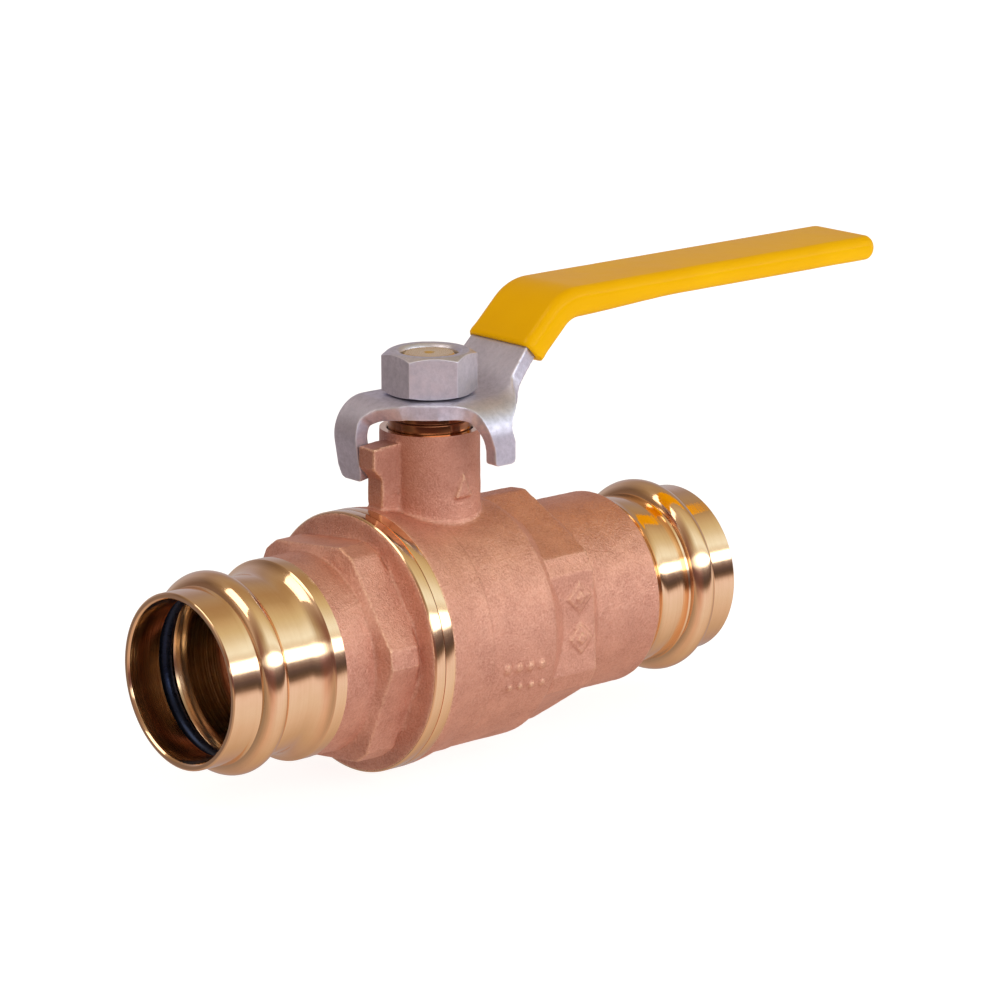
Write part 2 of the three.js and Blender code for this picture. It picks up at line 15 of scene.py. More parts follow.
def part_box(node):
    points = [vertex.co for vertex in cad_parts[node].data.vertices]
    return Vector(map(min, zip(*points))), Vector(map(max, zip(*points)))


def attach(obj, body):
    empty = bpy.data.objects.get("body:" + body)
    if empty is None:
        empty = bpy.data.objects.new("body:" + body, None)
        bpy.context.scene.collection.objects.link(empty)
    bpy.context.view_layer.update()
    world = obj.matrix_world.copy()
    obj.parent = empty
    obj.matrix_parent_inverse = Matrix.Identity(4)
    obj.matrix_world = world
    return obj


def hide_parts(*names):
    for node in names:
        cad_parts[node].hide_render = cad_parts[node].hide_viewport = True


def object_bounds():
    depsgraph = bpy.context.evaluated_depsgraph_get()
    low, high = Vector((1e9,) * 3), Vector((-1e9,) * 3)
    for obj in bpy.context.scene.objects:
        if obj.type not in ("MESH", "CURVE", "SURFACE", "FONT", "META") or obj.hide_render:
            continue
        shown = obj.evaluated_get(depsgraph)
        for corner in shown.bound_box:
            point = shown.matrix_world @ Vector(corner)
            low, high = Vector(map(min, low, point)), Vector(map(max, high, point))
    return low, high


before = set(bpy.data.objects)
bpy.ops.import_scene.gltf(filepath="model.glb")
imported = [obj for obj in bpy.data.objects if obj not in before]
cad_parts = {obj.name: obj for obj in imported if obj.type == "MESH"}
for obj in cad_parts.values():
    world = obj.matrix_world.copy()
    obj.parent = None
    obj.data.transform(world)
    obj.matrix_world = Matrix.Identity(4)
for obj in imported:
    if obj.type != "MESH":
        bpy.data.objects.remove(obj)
cad_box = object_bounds()

MM = 0.001
TAU = 2 * math.pi


def extent(node, axis):
    """Lowest and highest millimetre of a CAD node along one axis."""
    low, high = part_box(node)
    return low[axis] / MM, high[axis] / MM


# Driving dimensions in millimetres

INLET_RIM_X = extent("end_cap", 0)[0]
OUTLET_RIM_X = extent("valve_body", 0)[1]
SOCKET_R = 17.6
LIP_R = 19.1
MID_R = 19.3
BEAD_R = 22.0
BEAD_CENTRE = 10.6          # depth from the rim
BEAD_HALF = 3.4
BEAD_GROOVE_R = 20.5
BEAD_GROOVE_HALF = 2.3
LEAD_IN = 0.4
FLARE_START = 20.8
TUBE_STOP = 26.0
PORT_R = 15.5
SEAL_WIRE_R = 1.5
SEAL_PROUD = 0.35           # how far a press seal stands into the bore
SEAT_POCKET_X = 20.5
SEAT_POCKET_R = 21.5
CAST_R = 21.8               # as-cast neck behind each press end
LAND_R = 21.9               # turned land behind the flare, on the inlet only
INLET_LAND = (25.0, 27.9)
SEAM_X = -20.0
SEAM_HALF = 0.06
RING_R = 28.7
RING_WIDTH = 2.7
BARREL_R = 27.2
BARREL_STEP_X = -5.2
BARREL_STEP = 0.2
LAND_HALF_DEG = 4.8         # blunt corners of the wrench sections
CAP_HEX_TURN_DEG = 6.3
CAP_HEX_LAND = 25.75
CAP_HEX_FRONT_X = -33.6
CAP_HEX_REAR_X = -24.2
REAR_HEX_TURN_DEG = 32.9
REAR_HEX_LAND = 26.3
THREAD_R = 25.0
NECK_R = 11.0
NECK_FOOT_Z = 25.0
NECK_TOP_Z = 44.6
CHAMBER_R = 9.3
PACKING_R = 9.0
PACKING_BOTTOM_Z = 32.2
PACKING_STEP = 2.5
LUG_HALF = 2.6

PLATE = 3.4
HUB_MIDDLE_Z = 50.2
FOOT_BEND_X = 11.4
HEAD_BEND_X = 31.4
HEAD_Z = extent("lever", 2)[1] - PLATE / 2
ARM_TIP_X = extent("lever", 0)[1]
ARM_BEND_R = 10.0
ARM_HALF = 9.25
ARM_TIP_CORNER_R = 2.5
EAR_BEND_R = 6.3
STOP_EAR_BEND_START = 10.44
STOP_EAR_TURN_DEG = 100.0
STOP_EAR_DROP = 8.6
SIDE_EAR_BEND_START = 10.7
SIDE_EAR_DROP = 5.6
GRIP_THICK = 5.7
GRIP_HALF = 10.5
GRIP_EDGE_R = 2.6
GRIP_TIP_CORNER_R = 3.4
GRIP_CORNER_POINTS = 14
GRIP_START = 24.4           # along the arm, measured flat
GRIP_TIP_X = extent("lever_grip", 0)[1]
GRIP_SAG = 1.25             # extra vinyl below the slope, fading out along the arm
GRIP_SAG_START, GRIP_SAG_END = 38.0, 75.0
NUT_FLATS = 18.2
NUT_TURN_DEG = 25.0
NUT_BOTTOM_Z, NUT_TOP_Z = extent("lever_nut", 2)
STEM_R = 6.05
STEM_BORE_R = 6.4
STEM_TOP_Z = extent("stem", 2)[1]
THREAD_PITCH = 1.75
THREAD_DEPTH = 0.85
THREAD_BOTTOM_Z = 52.4
THREAD_TOP_Z = STEM_TOP_Z - 0.9
STEM_FLATS_HALF = 4.3
TANG_HALF = 2.6             # the stem's tongue, which stands in the ball's slot
TANG_REACH = 6.8
BALL_R = 23.5
BALL_SLOT_HALF = 2.9
SEAT_R = 21.2

CAST_WAVES = (              # depth, size and noise seed of each layer of the cast skin
    (0.05, 5.0, 1), (0.03, 1.9, 2), (0.022, 0.8, 3),
)
CAST_VOXEL = 0.3
PLATE_VOXEL = 0.27
X_STEPS = 192               # facets round the pipe axis
Z_STEPS = 96                # facets round the stem axis
SHARP = math.radians(28)

CAST, MACHINED, BORE = 0, 1, 2      # a casting's material slots


# Noise on a seeded lattice, the same on every run

lattice = np.random.RandomState(7).uniform(-1, 1, (64, 64, 64))


def noise(points, size, seed):
    """Smooth noise from -1 to 1 at each point, with features about size millimetres across."""
    shifted = points / size + np.array([seed * 7.3, seed * 3.1, seed * 5.7])
    cell = np.floor(shifted).astype(int)
    part = shifted - cell
    part = part * part * (3 - 2 * part)
    total = np.zeros(len(points))
    for corner in range(8):
        step = np.array([corner & 1, corner >> 1 & 1, corner >> 2 & 1])
        at = (cell + step) % 64
        weight = np.prod(np.where(step, part, 1 - part), axis=1)
        total += weight * lattice[at[:, 0], at[:, 1], at[:, 2]]
    return total


# Mesh tools

def to_object(name, mesh_builder, slot=CAST):
    mesh = bpy.data.meshes.new(name)
    mesh_builder.to_mesh(mesh)
    mesh_builder.free()
    for polygon in mesh.polygons:
        polygon.material_index = slot
    made = bpy.data.objects.new(name, mesh)
    bpy.context.scene.collection.objects.link(made)
    return made


def blank_slots(target, count=3):
    """Empty slots on a working piece, so that a boolean keeps each face's slot number."""
    while len(target.data.materials) < count:
        target.data.materials.append(None)


def from_grid(rows):
    """A closed mesh from rings of points: rows[i][j], i along the path and j round it."""
    rows = np.asarray(rows, float)
    count, around = rows.shape[:2]
    builder = bmesh.new()
    vertices = [[builder.verts.new(point) for point in ring] for ring in rows]
    for i in range(count):
        for j in range(around):
            after, beside = (i + 1) % count, (j + 1) % around
            builder.faces.new((
                vertices[i][j], vertices[i][beside], vertices[after][beside], vertices[after][j],
            ))
    bmesh.ops.remove_doubles(builder, verts=builder.verts, dist=1e-5)
    bmesh.ops.dissolve_degenerate(builder, edges=builder.edges, dist=1e-6)
    bmesh.ops.recalc_face_normals(builder, faces=builder.faces)
    return builder


def revolve(name, path, axis="x", steps=None, slot=CAST, limit=None, lift=None):
    """Turns a closed path of (along, radius) points about the X or Z axis.
    limit gives the largest radius at each angle, and lift adds to the radius at each point."""
    steps = steps or (X_STEPS if axis == "x" else Z_STEPS)
    angle = np.arange(steps) * TAU / steps
    along = np.array([p[0] for p in path], float)[:, None] + 0 * angle
    radius = np.array([p[1] for p in path], float)[:, None] + 0 * angle
    if limit is not None:
        radius = np.minimum(radius, limit(angle)[None, :])
    if lift is not None:
        radius = radius + lift(along, radius, angle[None, :])
    if axis == "x":
        rows = np.stack([along, -radius * np.cos(angle), radius * np.sin(angle)], -1)
    else:
        rows = np.stack([radius * np.cos(angle), radius * np.sin(angle), along], -1)
    return to_object(name, from_grid(rows), slot)


def prism(name, outline, axis, low, high):
    """A flat outline pushed along one axis: XY for z and XZ for y."""
    def place(u, v, w):
        return (u, v, w) if axis == "z" else (u, w, v)

    builder = bmesh.new()
    base = [builder.verts.new(place(u, v, low)) for u, v in outline]
    top = [builder.verts.new(place(u, v, high)) for u, v in outline]
    builder.faces.new(base)
    builder.faces.new(top[::-1])
    for i in range(len(outline)):
        after = (i + 1) % len(outline)
        builder.faces.new((base[after], base[i], top[i], top[after]))
    bmesh.ops.recalc_face_normals(builder, faces=builder.faces)
    return to_object(name, builder)


def arc(centre_u, centre_v, radius, start, end, steps):
    angles = np.linspace(start, end, steps + 1)
    return [(centre_u + radius * math.cos(a), centre_v + radius * math.sin(a)) for a in angles]


def rectangle(half_u, half_v):
    return [(-half_u, -half_v), (half_u, -half_v), (half_u, half_v), (-half_u, half_v)]


def softened(outline, radius=0.18, steps=3, closed=True):
    """The outline with its sharp corners rounded. A point may carry its own radius."""
    points = [Vector(p[:2]) for p in outline]
    radii = [p[2] if len(p) > 2 else radius for p in outline]
    result = []
    for i, point in enumerate(points):
        if not closed and i in (0, len(points) - 1):
            result.append(tuple(point))
            continue
        before = points[i - 1] - point
        after = points[(i + 1) % len(points)] - point
        if min(before.length, after.length) < 1e-6:
            continue
        opening = before.angle(after)
        turn = math.pi - opening
        if turn < math.radians(14) or radii[i] == 0:
            result.append(tuple(point))
            continue
        cut = min(radii[i] * math.tan(turn / 2), 0.45 * before.length, 0.45 * after.length)
        first, last = point + before.normalized() * cut, point + after.normalized() * cut
        for step in range(steps + 1):
            t = step / steps
            result.append(tuple(first * (1 - t) ** 2 + point * (2 * t * (1 - t)) + last * t * t))
    return result


def settle(target):
    """Applies a piece's modifiers to its mesh."""
    depsgraph = bpy.context.evaluated_depsgraph_get()
    mesh = bpy.data.meshes.new_from_object(target.evaluated_get(depsgraph))
    target.modifiers.clear()
    target.data = mesh


def smooth(target, iterations, group=""):
    modifier = target.modifiers.new("smooth", "SMOOTH")
    modifier.factor, modifier.iterations, modifier.vertex_group = 0.5, iterations, group
    settle(target)


def combine(target, tool, operation):
    blank_slots(target)
    blank_slots(tool)
    modifier = target.modifiers.new("combine", "BOOLEAN")
    modifier.operation = operation
    modifier.solver = "MANIFOLD"
    modifier.object = tool
    settle(target)
    bpy.data.objects.remove(tool)


def join(target, *others):
    builder = bmesh.new()
    builder.from_mesh(target.data)
    for other in others:
        builder.from_mesh(other.data)
        bpy.data.objects.remove(other)
    builder.to_mesh(target.data)
    builder.free()


def remesh(target, voxel, smoothing):
    """Merges overlapping solids into one skin, with every edge slightly rounded."""
    modifier = target.modifiers.new("skin", "REMESH")
    modifier.mode = "VOXEL"
    modifier.voxel_size = voxel
    smooth(target, smoothing)


def triples(items, name):
    values = np.empty(len(items) * 3)
    items.foreach_get(name, values)
    return values.reshape(-1, 3)


def vertices_of(target):
    return triples(target.data.vertices, "co")


def normals_of(target):
    return triples(target.data.vertex_normals, "vector")


def place_vertices(target, points):
    target.data.vertices.foreach_set("co", np.asarray(points).ravel())
    target.data.update()


def mark_edges(target):
    """Stores how convex the surface is at each vertex, for wear along edges, and how concave, for
    painted shade in hollows, each from 0 to 1.
    """
    points, normals = vertices_of(target), normals_of(target)
    edges = np.empty(len(target.data.edges) * 2, int)
    target.data.edges.foreach_get("vertices", edges)
    first, second = edges.reshape(-1, 2).T
    step = points[second] - points[first]
    length = np.maximum((step ** 2).sum(1), 1e-9)
    bend, count = np.zeros(len(points)), np.zeros(len(points))
    for here, way in ((first, 1), (second, -1)):
        np.add.at(bend, here, -way * (normals[here] * step).sum(1) / length)
        np.add.at(count, here, 1)
    bend /= np.maximum(count, 1)
    near, shares = np.zeros(len(points)), np.zeros(len(points))
    for here, there in ((first, second), (second, first)):
        np.add.at(near, here, bend[there])
        np.add.at(shares, here, 1)
    bend = 0.5 * bend + 0.5 * near / np.maximum(shares, 1)
    for name, value in (("edge", bend), ("hollow_shade", -bend)):
        attribute = target.data.attributes.new(name, "FLOAT", "POINT")
        share = np.clip((value - 0.12) / 0.5, 0, 1)
        attribute.data.foreach_set("value", share.astype(np.float32))


def finish_piece(target, body, nodes, materials, sharp=SHARP):
    target.data.transform(Matrix.Scale(MM, 4))
    blank_slots(target, len(materials))
    for index, material in enumerate(materials):
        target.data.materials[index] = material
    target.data.shade_smooth()
    target.data.set_sharp_from_angle(angle=sharp)
    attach(target, body)
    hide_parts(*nodes)


# Materials

class Nodes:
    """Short ways to add to a node tree. Values may be numbers, colours or other nodes' outputs."""

    def __init__(self, tree):
        self.tree = tree

    def plug(self, socket, value):
        if isinstance(value, bpy.types.NodeSocket):
            self.tree.links.new(value, socket)
        elif isinstance(value, tuple) and len(value) == 3 and socket.type == "RGBA":
            socket.default_value = (*value, 1)
        else:
            socket.default_value = value

    def node(self, kind, inputs, output=0, **settings):
        made = self.tree.nodes.new(kind)
        for name, value in settings.items():
            setattr(made, name, value)
        for name, value in inputs.items():
            self.plug(made.inputs[name], value)
        return made.outputs[output]

    def math(self, operation, first, second=0.0):
        return self.node("ShaderNodeMath", {0: first, 1: second}, operation=operation)

    def ramp(self, value, low, high, to_low=0.0, to_high=1.0):
        return self.node("ShaderNodeMapRange", {
            "Value": value, "From Min": low, "From Max": high,
            "To Min": to_low, "To Max": to_high,
        })

    def mix(self, share, first, second):
        made = self.tree.nodes.new("ShaderNodeMix")
        made.data_type = "RGBA"
        for socket, value in ((0, share), (6, first), (7, second)):
            self.plug(made.inputs[socket], value)
        return made.outputs[2]


class Shader(Nodes):
    """A material's node tree around one Principled BSDF."""

    def __init__(self, name, **values):
        self.material = bpy.data.materials.new(name)
        self.material.use_nodes = True
        super().__init__(self.material.node_tree)
        self.bsdf = self.tree.nodes["Principled BSDF"]
        self.set(**values)
        self.where = self.tree.nodes.new("ShaderNodeTexCoord").outputs["Object"]

    def set(self, **values):
        for name, value in values.items():
            self.plug(self.bsdf.inputs[name.replace("_", " ")], value)

    def noise(self, per_mm, detail=2.0, roughness=0.5):
        return self.node("ShaderNodeTexNoise", {
            "Vector": self.where, "Scale": per_mm / MM, "Detail": detail, "Roughness": roughness,
        })

    def attribute(self, name):
        return self.node("ShaderNodeAttribute", {}, output=2, attribute_name=name)

    def bump(self, height, depth_mm, strength=1.0, under=None):
        inputs = {"Height": height, "Distance": depth_mm * MM, "Strength": strength}
        if under is not None:
            inputs["Normal"] = under
        return self.node("ShaderNodeBump", inputs)

    def turning_marks(self, axis, per_mm, detail=2.0):
        """Noise that changes only along a lathe tool's path: along the axis and outward."""
        split = self.node("ShaderNodeSeparateXYZ", {"Vector": self.where}).node
        along, side, up = "XYZ" if axis == "x" else "ZXY"
        square = self.math("ADD", self.math("POWER", split.outputs[side], 2.0),
                           self.math("POWER", split.outputs[up], 2.0))
        path = self.math("ADD", split.outputs[along], self.math("SQRT", square))
        return self.node("ShaderNodeTexNoise", {
            "W": path, "Scale": per_mm / MM, "Detail": detail,
        }, noise_dimensions="1D")


def cast_bronze():
    shader = Shader("cast_bronze", Metallic=0.9)
    grain = shader.noise(2.1, 3.0, 0.7)
    blotch = shader.noise(0.16, 3.0, 0.6)
    tone = shader.mix(shader.ramp(blotch, 0.35, 0.65), (0.59, 0.27, 0.192), (0.73, 0.365, 0.262))
    tone = shader.mix(shader.ramp(grain, 0.35, 0.68, 0.0, 0.55), tone, (0.92, 0.56, 0.42))
    height = shader.node("ShaderNodeSeparateXYZ", {"Vector": shader.where}).node.outputs["Z"]
    # Painted shade: the casting grows darker up the neck, from 27 mm to full strength at 34 mm and
    # above.
    neck_painted_shade = shader.ramp(height, 27 * MM, 34 * MM, 0.0, 0.42)
    tone = shader.mix(neck_painted_shade, tone, (0.40, 0.17, 0.12))
    edge = shader.attribute("edge")
    rubbed = shader.math("MULTIPLY", edge, shader.ramp(grain, 0.35, 0.6))
    tone = shader.mix(shader.math("MULTIPLY", rubbed, 0.75), tone, (0.98, 0.66, 0.42))
    # Painted shade: hollows and creases of the casting are darkened.
    tone = shader.mix(shader.math("MULTIPLY", shader.attribute("hollow_shade"), 0.6), tone,
                      (0.42, 0.17, 0.11))
    roughness = shader.ramp(grain, 0.3, 0.7, 0.56, 0.42)
    roughness = shader.math("SUBTRACT", roughness, shader.math("MULTIPLY", rubbed, 0.12))
    coarse = shader.bump(shader.noise(0.6, 2.0), 0.14, 0.7)
    fine = shader.bump(grain, 0.22, 1.0, coarse)
    shader.set(Base_Color=tone, Roughness=roughness, Normal=fine)
    return shader.material


def turned_metal(name, colour, dark, roughness, axis="x", depth=0.012, tarnish=0.35, banding=0.2):
    shader = Shader(name, Metallic=1.0)
    marks = shader.turning_marks(axis, 2.2, 3.0)
    broad = shader.turning_marks(axis, 0.45, 1.0)
    cloud = shader.noise(0.12, 3.0, 0.6)
    share = shader.math("MULTIPLY", shader.ramp(cloud, 0.35, 0.75), tarnish)
    share = shader.math("ADD", share, shader.ramp(marks, 0.35, 0.75, 0.0, banding))
    share = shader.math("ADD", share, shader.ramp(broad, 0.45, 0.6, 0.0, banding * 0.7))
    tone = shader.mix(share, colour, dark)
    rough = shader.math("ADD", shader.ramp(marks, 0.25, 0.75, roughness * 0.8, roughness * 1.25),
                        shader.ramp(broad, 0.3, 0.7, -0.02, 0.03))
    shader.set(Base_Color=tone, Roughness=rough, Normal=shader.bump(marks, depth, 0.6))
    return shader.material


def zinc_plate(name, colour):
    shader = Shader(name, Metallic=0.9)
    spangle = shader.noise(0.7, 4.0, 0.65)
    cloud = shader.noise(0.12, 2.0)
    tone = shader.mix(shader.ramp(cloud, 0.35, 0.65), colour, tuple(c * 1.12 for c in colour))
    tone = shader.mix(shader.ramp(spangle, 0.35, 0.65, 0.0, 0.4), tone, (0.36, 0.355, 0.42))
    tone = shader.mix(shader.math("MULTIPLY", shader.attribute("edge"), 0.55), tone,
                      (0.80, 0.79, 0.88))
    shader.set(Base_Color=tone, Roughness=shader.ramp(spangle, 0.3, 0.7, 0.36, 0.5),
               Normal=shader.bump(shader.noise(1.1, 4.0, 0.7), 0.07, 0.8))
    return shader.material


def yellow_vinyl():
    shader = Shader("yellow_vinyl", IOR=1.4, Specular_IOR_Level=0.04, Coat_Weight=0.1,
                    Coat_Roughness=0.14)
    cloud = shader.noise(0.05, 2.0)
    tone = shader.mix(shader.ramp(cloud, 0.3, 0.7), (0.79, 0.405, 0.0003), (0.84, 0.455, 0.0006))
    grime = shader.ramp(shader.noise(0.9, 4.0, 0.7), 0.62, 0.8, 0.0, 0.2)
    tone = shader.mix(grime, tone, (0.66, 0.34, 0.002))
    flow = shader.bump(shader.noise(0.09, 2.0), 0.35, 0.5)
    shader.set(Base_Color=tone, Roughness=shader.ramp(cloud, 0.3, 0.7, 0.27, 0.36),
               Normal=shader.bump(shader.noise(0.8, 2.0), 0.02, 0.4, flow))
    return shader.material


def rubber():
    shader = Shader("epdm_rubber", IOR=1.52, Specular_Tint=(0.35, 0.5, 1.0))
    speck = shader.noise(1.2, 3.0, 0.6)
    tone = shader.mix(shader.ramp(speck, 0.4, 0.7), (0.004, 0.005, 0.009), (0.010, 0.012, 0.020))
    shader.set(Base_Color=tone, Roughness=shader.ramp(speck, 0.3, 0.7, 0.24, 0.36),
               Normal=shader.bump(speck, 0.015, 0.5))
    return shader.material


def ptfe():
    shader = Shader("ptfe", IOR=1.36, Subsurface_Weight=0.15, Subsurface_Scale=0.002)
    marks = shader.turning_marks("x", 1.6)
    tone = shader.mix(shader.ramp(marks, 0.3, 0.7), (0.80, 0.79, 0.76), (0.87, 0.865, 0.84))
    shader.set(Base_Color=tone, Roughness=shader.ramp(marks, 0.3, 0.7, 0.38, 0.5),
               Normal=shader.bump(marks, 0.02, 0.5))
    return shader.material


cast_look = cast_bronze()
machined_look = turned_metal("machined_bronze", (0.93, 0.66, 0.41), (0.83, 0.52, 0.28), 0.085,
                             depth=0.018, banding=0.15)
bore_look = turned_metal("bored_bronze", (0.95, 0.74, 0.50), (0.46, 0.28, 0.15), 0.17, depth=0.06,
                         tarnish=0.2, banding=0.75)
# The gland's very dark copper brown is partly its own tone and partly painted shade from the lever
# plate above it.
gland_look = turned_metal("gland_brass", (0.36, 0.15, 0.07), (0.17, 0.065, 0.03), 0.11, "z")
stem_look = turned_metal("stem_brass", (0.98, 0.76, 0.36), (0.78, 0.52, 0.22), 0.24, "z")
chrome_look = turned_metal("chrome", (0.78, 0.79, 0.80), (0.70, 0.71, 0.73), 0.06, depth=0.002)
plate_look = zinc_plate("zinc_plate", (0.68, 0.665, 0.77))
nut_look = zinc_plate("zinc_nut", (0.67, 0.65, 0.72))
vinyl_look = yellow_vinyl()
rubber_look = rubber()
ptfe_look = ptfe()
bronze = [cast_look, machined_look, bore_look]


# Castings

def hexagon(land, turn_deg):
    """Radius of a hexagon at each angle, its corners cut by flat lands."""
    half = math.radians(LAND_HALF_DEG)
    flat = land * math.cos(math.radians(30) - half) / math.cos(half)

    def limit(angle):
        from_corner = (angle - math.radians(turn_deg) + TAU / 12) % (TAU / 6) - TAU / 12
        from_flat = TAU / 12 - np.abs(from_corner)
        return np.minimum(flat / np.cos(from_flat), land / np.cos(from_corner))
    return limit


def press_outside(flare_end):
    """Outside of a press end from the rim inwards, as (depth, radius)."""
    height = BEAD_R - MID_R
    radius = (BEAD_HALF ** 2 + height ** 2) / (2 * height)
    reach = math.asin(BEAD_HALF / radius)
    up = math.pi / 2
    bead = arc(BEAD_CENTRE, BEAD_R - radius, radius, up + reach, up - reach, 28)
    rise = CAST_R - 0.1 - MID_R
    run = flare_end - FLARE_START
    flare_radius = (run ** 2 + rise ** 2) / (2 * rise)
    flare = arc(FLARE_START, MID_R + flare_radius, flare_radius, -up,
                -up + math.asin(run / flare_radius), 14)
    before = softened([(0, LIP_R - LEAD_IN), (LEAD_IN * 0.6, LIP_R, 0.3), (5, LIP_R - 0.02)],
                      steps=4, closed=False)[:-1]
    bead_start, bead_end = BEAD_CENTRE - BEAD_HALF, BEAD_CENTRE + BEAD_HALF
    valley = [(bead_start - 0.9, LIP_R), (bead_start - 0.3, LIP_R + 0.06)]
    valley_after = [(bead_end + 0.35, MID_R - 0.12), (bead_end + 0.6, MID_R - 0.12),
                    (bead_end + 0.9, MID_R)]
    return [*before, *valley, *bead, *valley_after, *flare]


def press_inside():
    """Inside of a press end from the tube stop back out to the rim."""
    mouth, floor = BEAD_GROOVE_HALF, BEAD_GROOVE_HALF - LEAD_IN
    return softened([
        (TUBE_STOP + 4, PORT_R, 0), (TUBE_STOP, PORT_R, 0.25), (TUBE_STOP, SOCKET_R, 0.3),
        (BEAD_CENTRE + 5.1, SOCKET_R, 0.2),
        (BEAD_CENTRE + 4.0, SOCKET_R + 0.33, 0.2),
        (BEAD_CENTRE + mouth, SOCKET_R + 1.2, 0.15),
        (BEAD_CENTRE + floor, BEAD_GROOVE_R, 0.7),
        (BEAD_CENTRE - floor, BEAD_GROOVE_R, 0.7),
        (BEAD_CENTRE - mouth, SOCKET_R, 0.35),
        (LEAD_IN, SOCKET_R, 0.2), (0, SOCKET_R + LEAD_IN, 0.12), (0, LIP_R - LEAD_IN, 0.12),
    ], closed=False)[:-1]


def press_tube(name, rim_x, way, land=()):
    """A whole machined press end. way is 1 where it opens to -X, and -1 where it opens to +X.

    land, where given, is the start and end depth of a turned land behind the flare.
    """
    outside = press_outside(land[0] if land else TUBE_STOP)
    if land:
        outside += [(land[0] + 0.15, LAND_R - 0.05), (land[0] + 0.4, LAND_R), (land[1], LAND_R),
                    (land[1] + 0.12, LAND_R - 0.3)]
    root = [(TUBE_STOP + 4, CAST_R - 1.2)]
    path = [(rim_x + way * d, r) for d, r in [*outside, *root, *press_inside()]]
    tube = revolve(name, path, slot=MACHINED)
    points = vertices_of(tube)
    for polygon in tube.data.polygons:
        centre = points[list(polygon.vertices)].mean(0)
        depth = way * (centre[0] - rim_x)
        radius = math.hypot(centre[1], centre[2])
        in_groove = (abs(depth - BEAD_CENTRE) < BEAD_GROOVE_HALF + 0.2
                     and radius < BEAD_GROOVE_R + 0.1)
        inside = in_groove or radius < SOCKET_R + (1.1 if depth > BEAD_CENTRE else 0.1)
        polygon.material_index = BORE if inside and depth > 0.5 else MACHINED
    return tube


def fill_root(target, distance):
    """Smooths the surface into a fillet wherever distance, in millimetres, is small."""
    share = np.clip(1.25 - distance(vertices_of(target)) / 2.4, 0, 1)
    group = target.vertex_groups.new(name="root")
    for index in np.flatnonzero(share):
        group.add([int(index)], float(share[index]), "REPLACE")
    smooth(target, 45, "root")
    target.vertex_groups.clear()


def roughen(target, keep_inside):
    """Sand-cast texture in the surface itself: slow waves, orange peel and a few pits.
    keep_inside is the largest radius below the neck."""
    points, normals = vertices_of(target), normals_of(target)
    skin = sum(depth * noise(points, size, seed) for depth, size, seed in CAST_WAVES)
    pits = -0.09 * np.clip(noise(points, 1.4, 4) - 0.62, 0, 1)
    points = points + normals * (skin + pits)[:, None]
    radius = np.hypot(points[:, 1], points[:, 2])
    step = BARREL_STEP * np.clip((BARREL_STEP_X - points[:, 0]) / 0.3 + 0.5, 0, 1)
    step *= np.clip((BARREL_R + 1.3 - radius) / 1.1, 0, 1) * (radius > BARREL_R - 0.6)
    near_neck = (np.hypot(points[:, 0], points[:, 1]) < NECK_R + 2) & (points[:, 2] > 0)
    grow = np.where(near_neck, 0, step)
    points[:, 1:] *= (1 + grow / np.maximum(radius, 1))[:, None]
    radius = np.hypot(points[:, 1], points[:, 2])
    shrink = np.minimum(1, keep_inside / np.maximum(radius, 1))
    below_neck = points[:, 2] < NECK_FOOT_Z
    points[:, 1:] *= np.where(below_neck, shrink, 1)[:, None]
    place_vertices(target, points)


def smoothstep_path(x0, r0, x1, r1, steps=8):
    shares = np.linspace(0, 1, steps + 1)
    return [(x0 + (x1 - x0) * s, r0 + (r1 - r0) * s * s * (3 - 2 * s)) for s in shares]


def raised_dot(x, rise_deg, size, height=0.62):
    """A small plain dot on the near side of the barrel."""
    dot = revolve("dot", [(-1.5, 0), (-1.5, size * 1.15), (height * 0.5, size),
                          (height, size * 0.6), (height, 0)], axis="z", steps=16)
    a = math.radians(rise_deg)
    out = Vector((0, -math.cos(a), math.sin(a)))
    turn = out.to_track_quat("Z", "Y").to_matrix().to_4x4()
    dot.data.transform(Matrix.Translation(out * BARREL_R + Vector((x, 0, 0))) @ turn)
    return dot


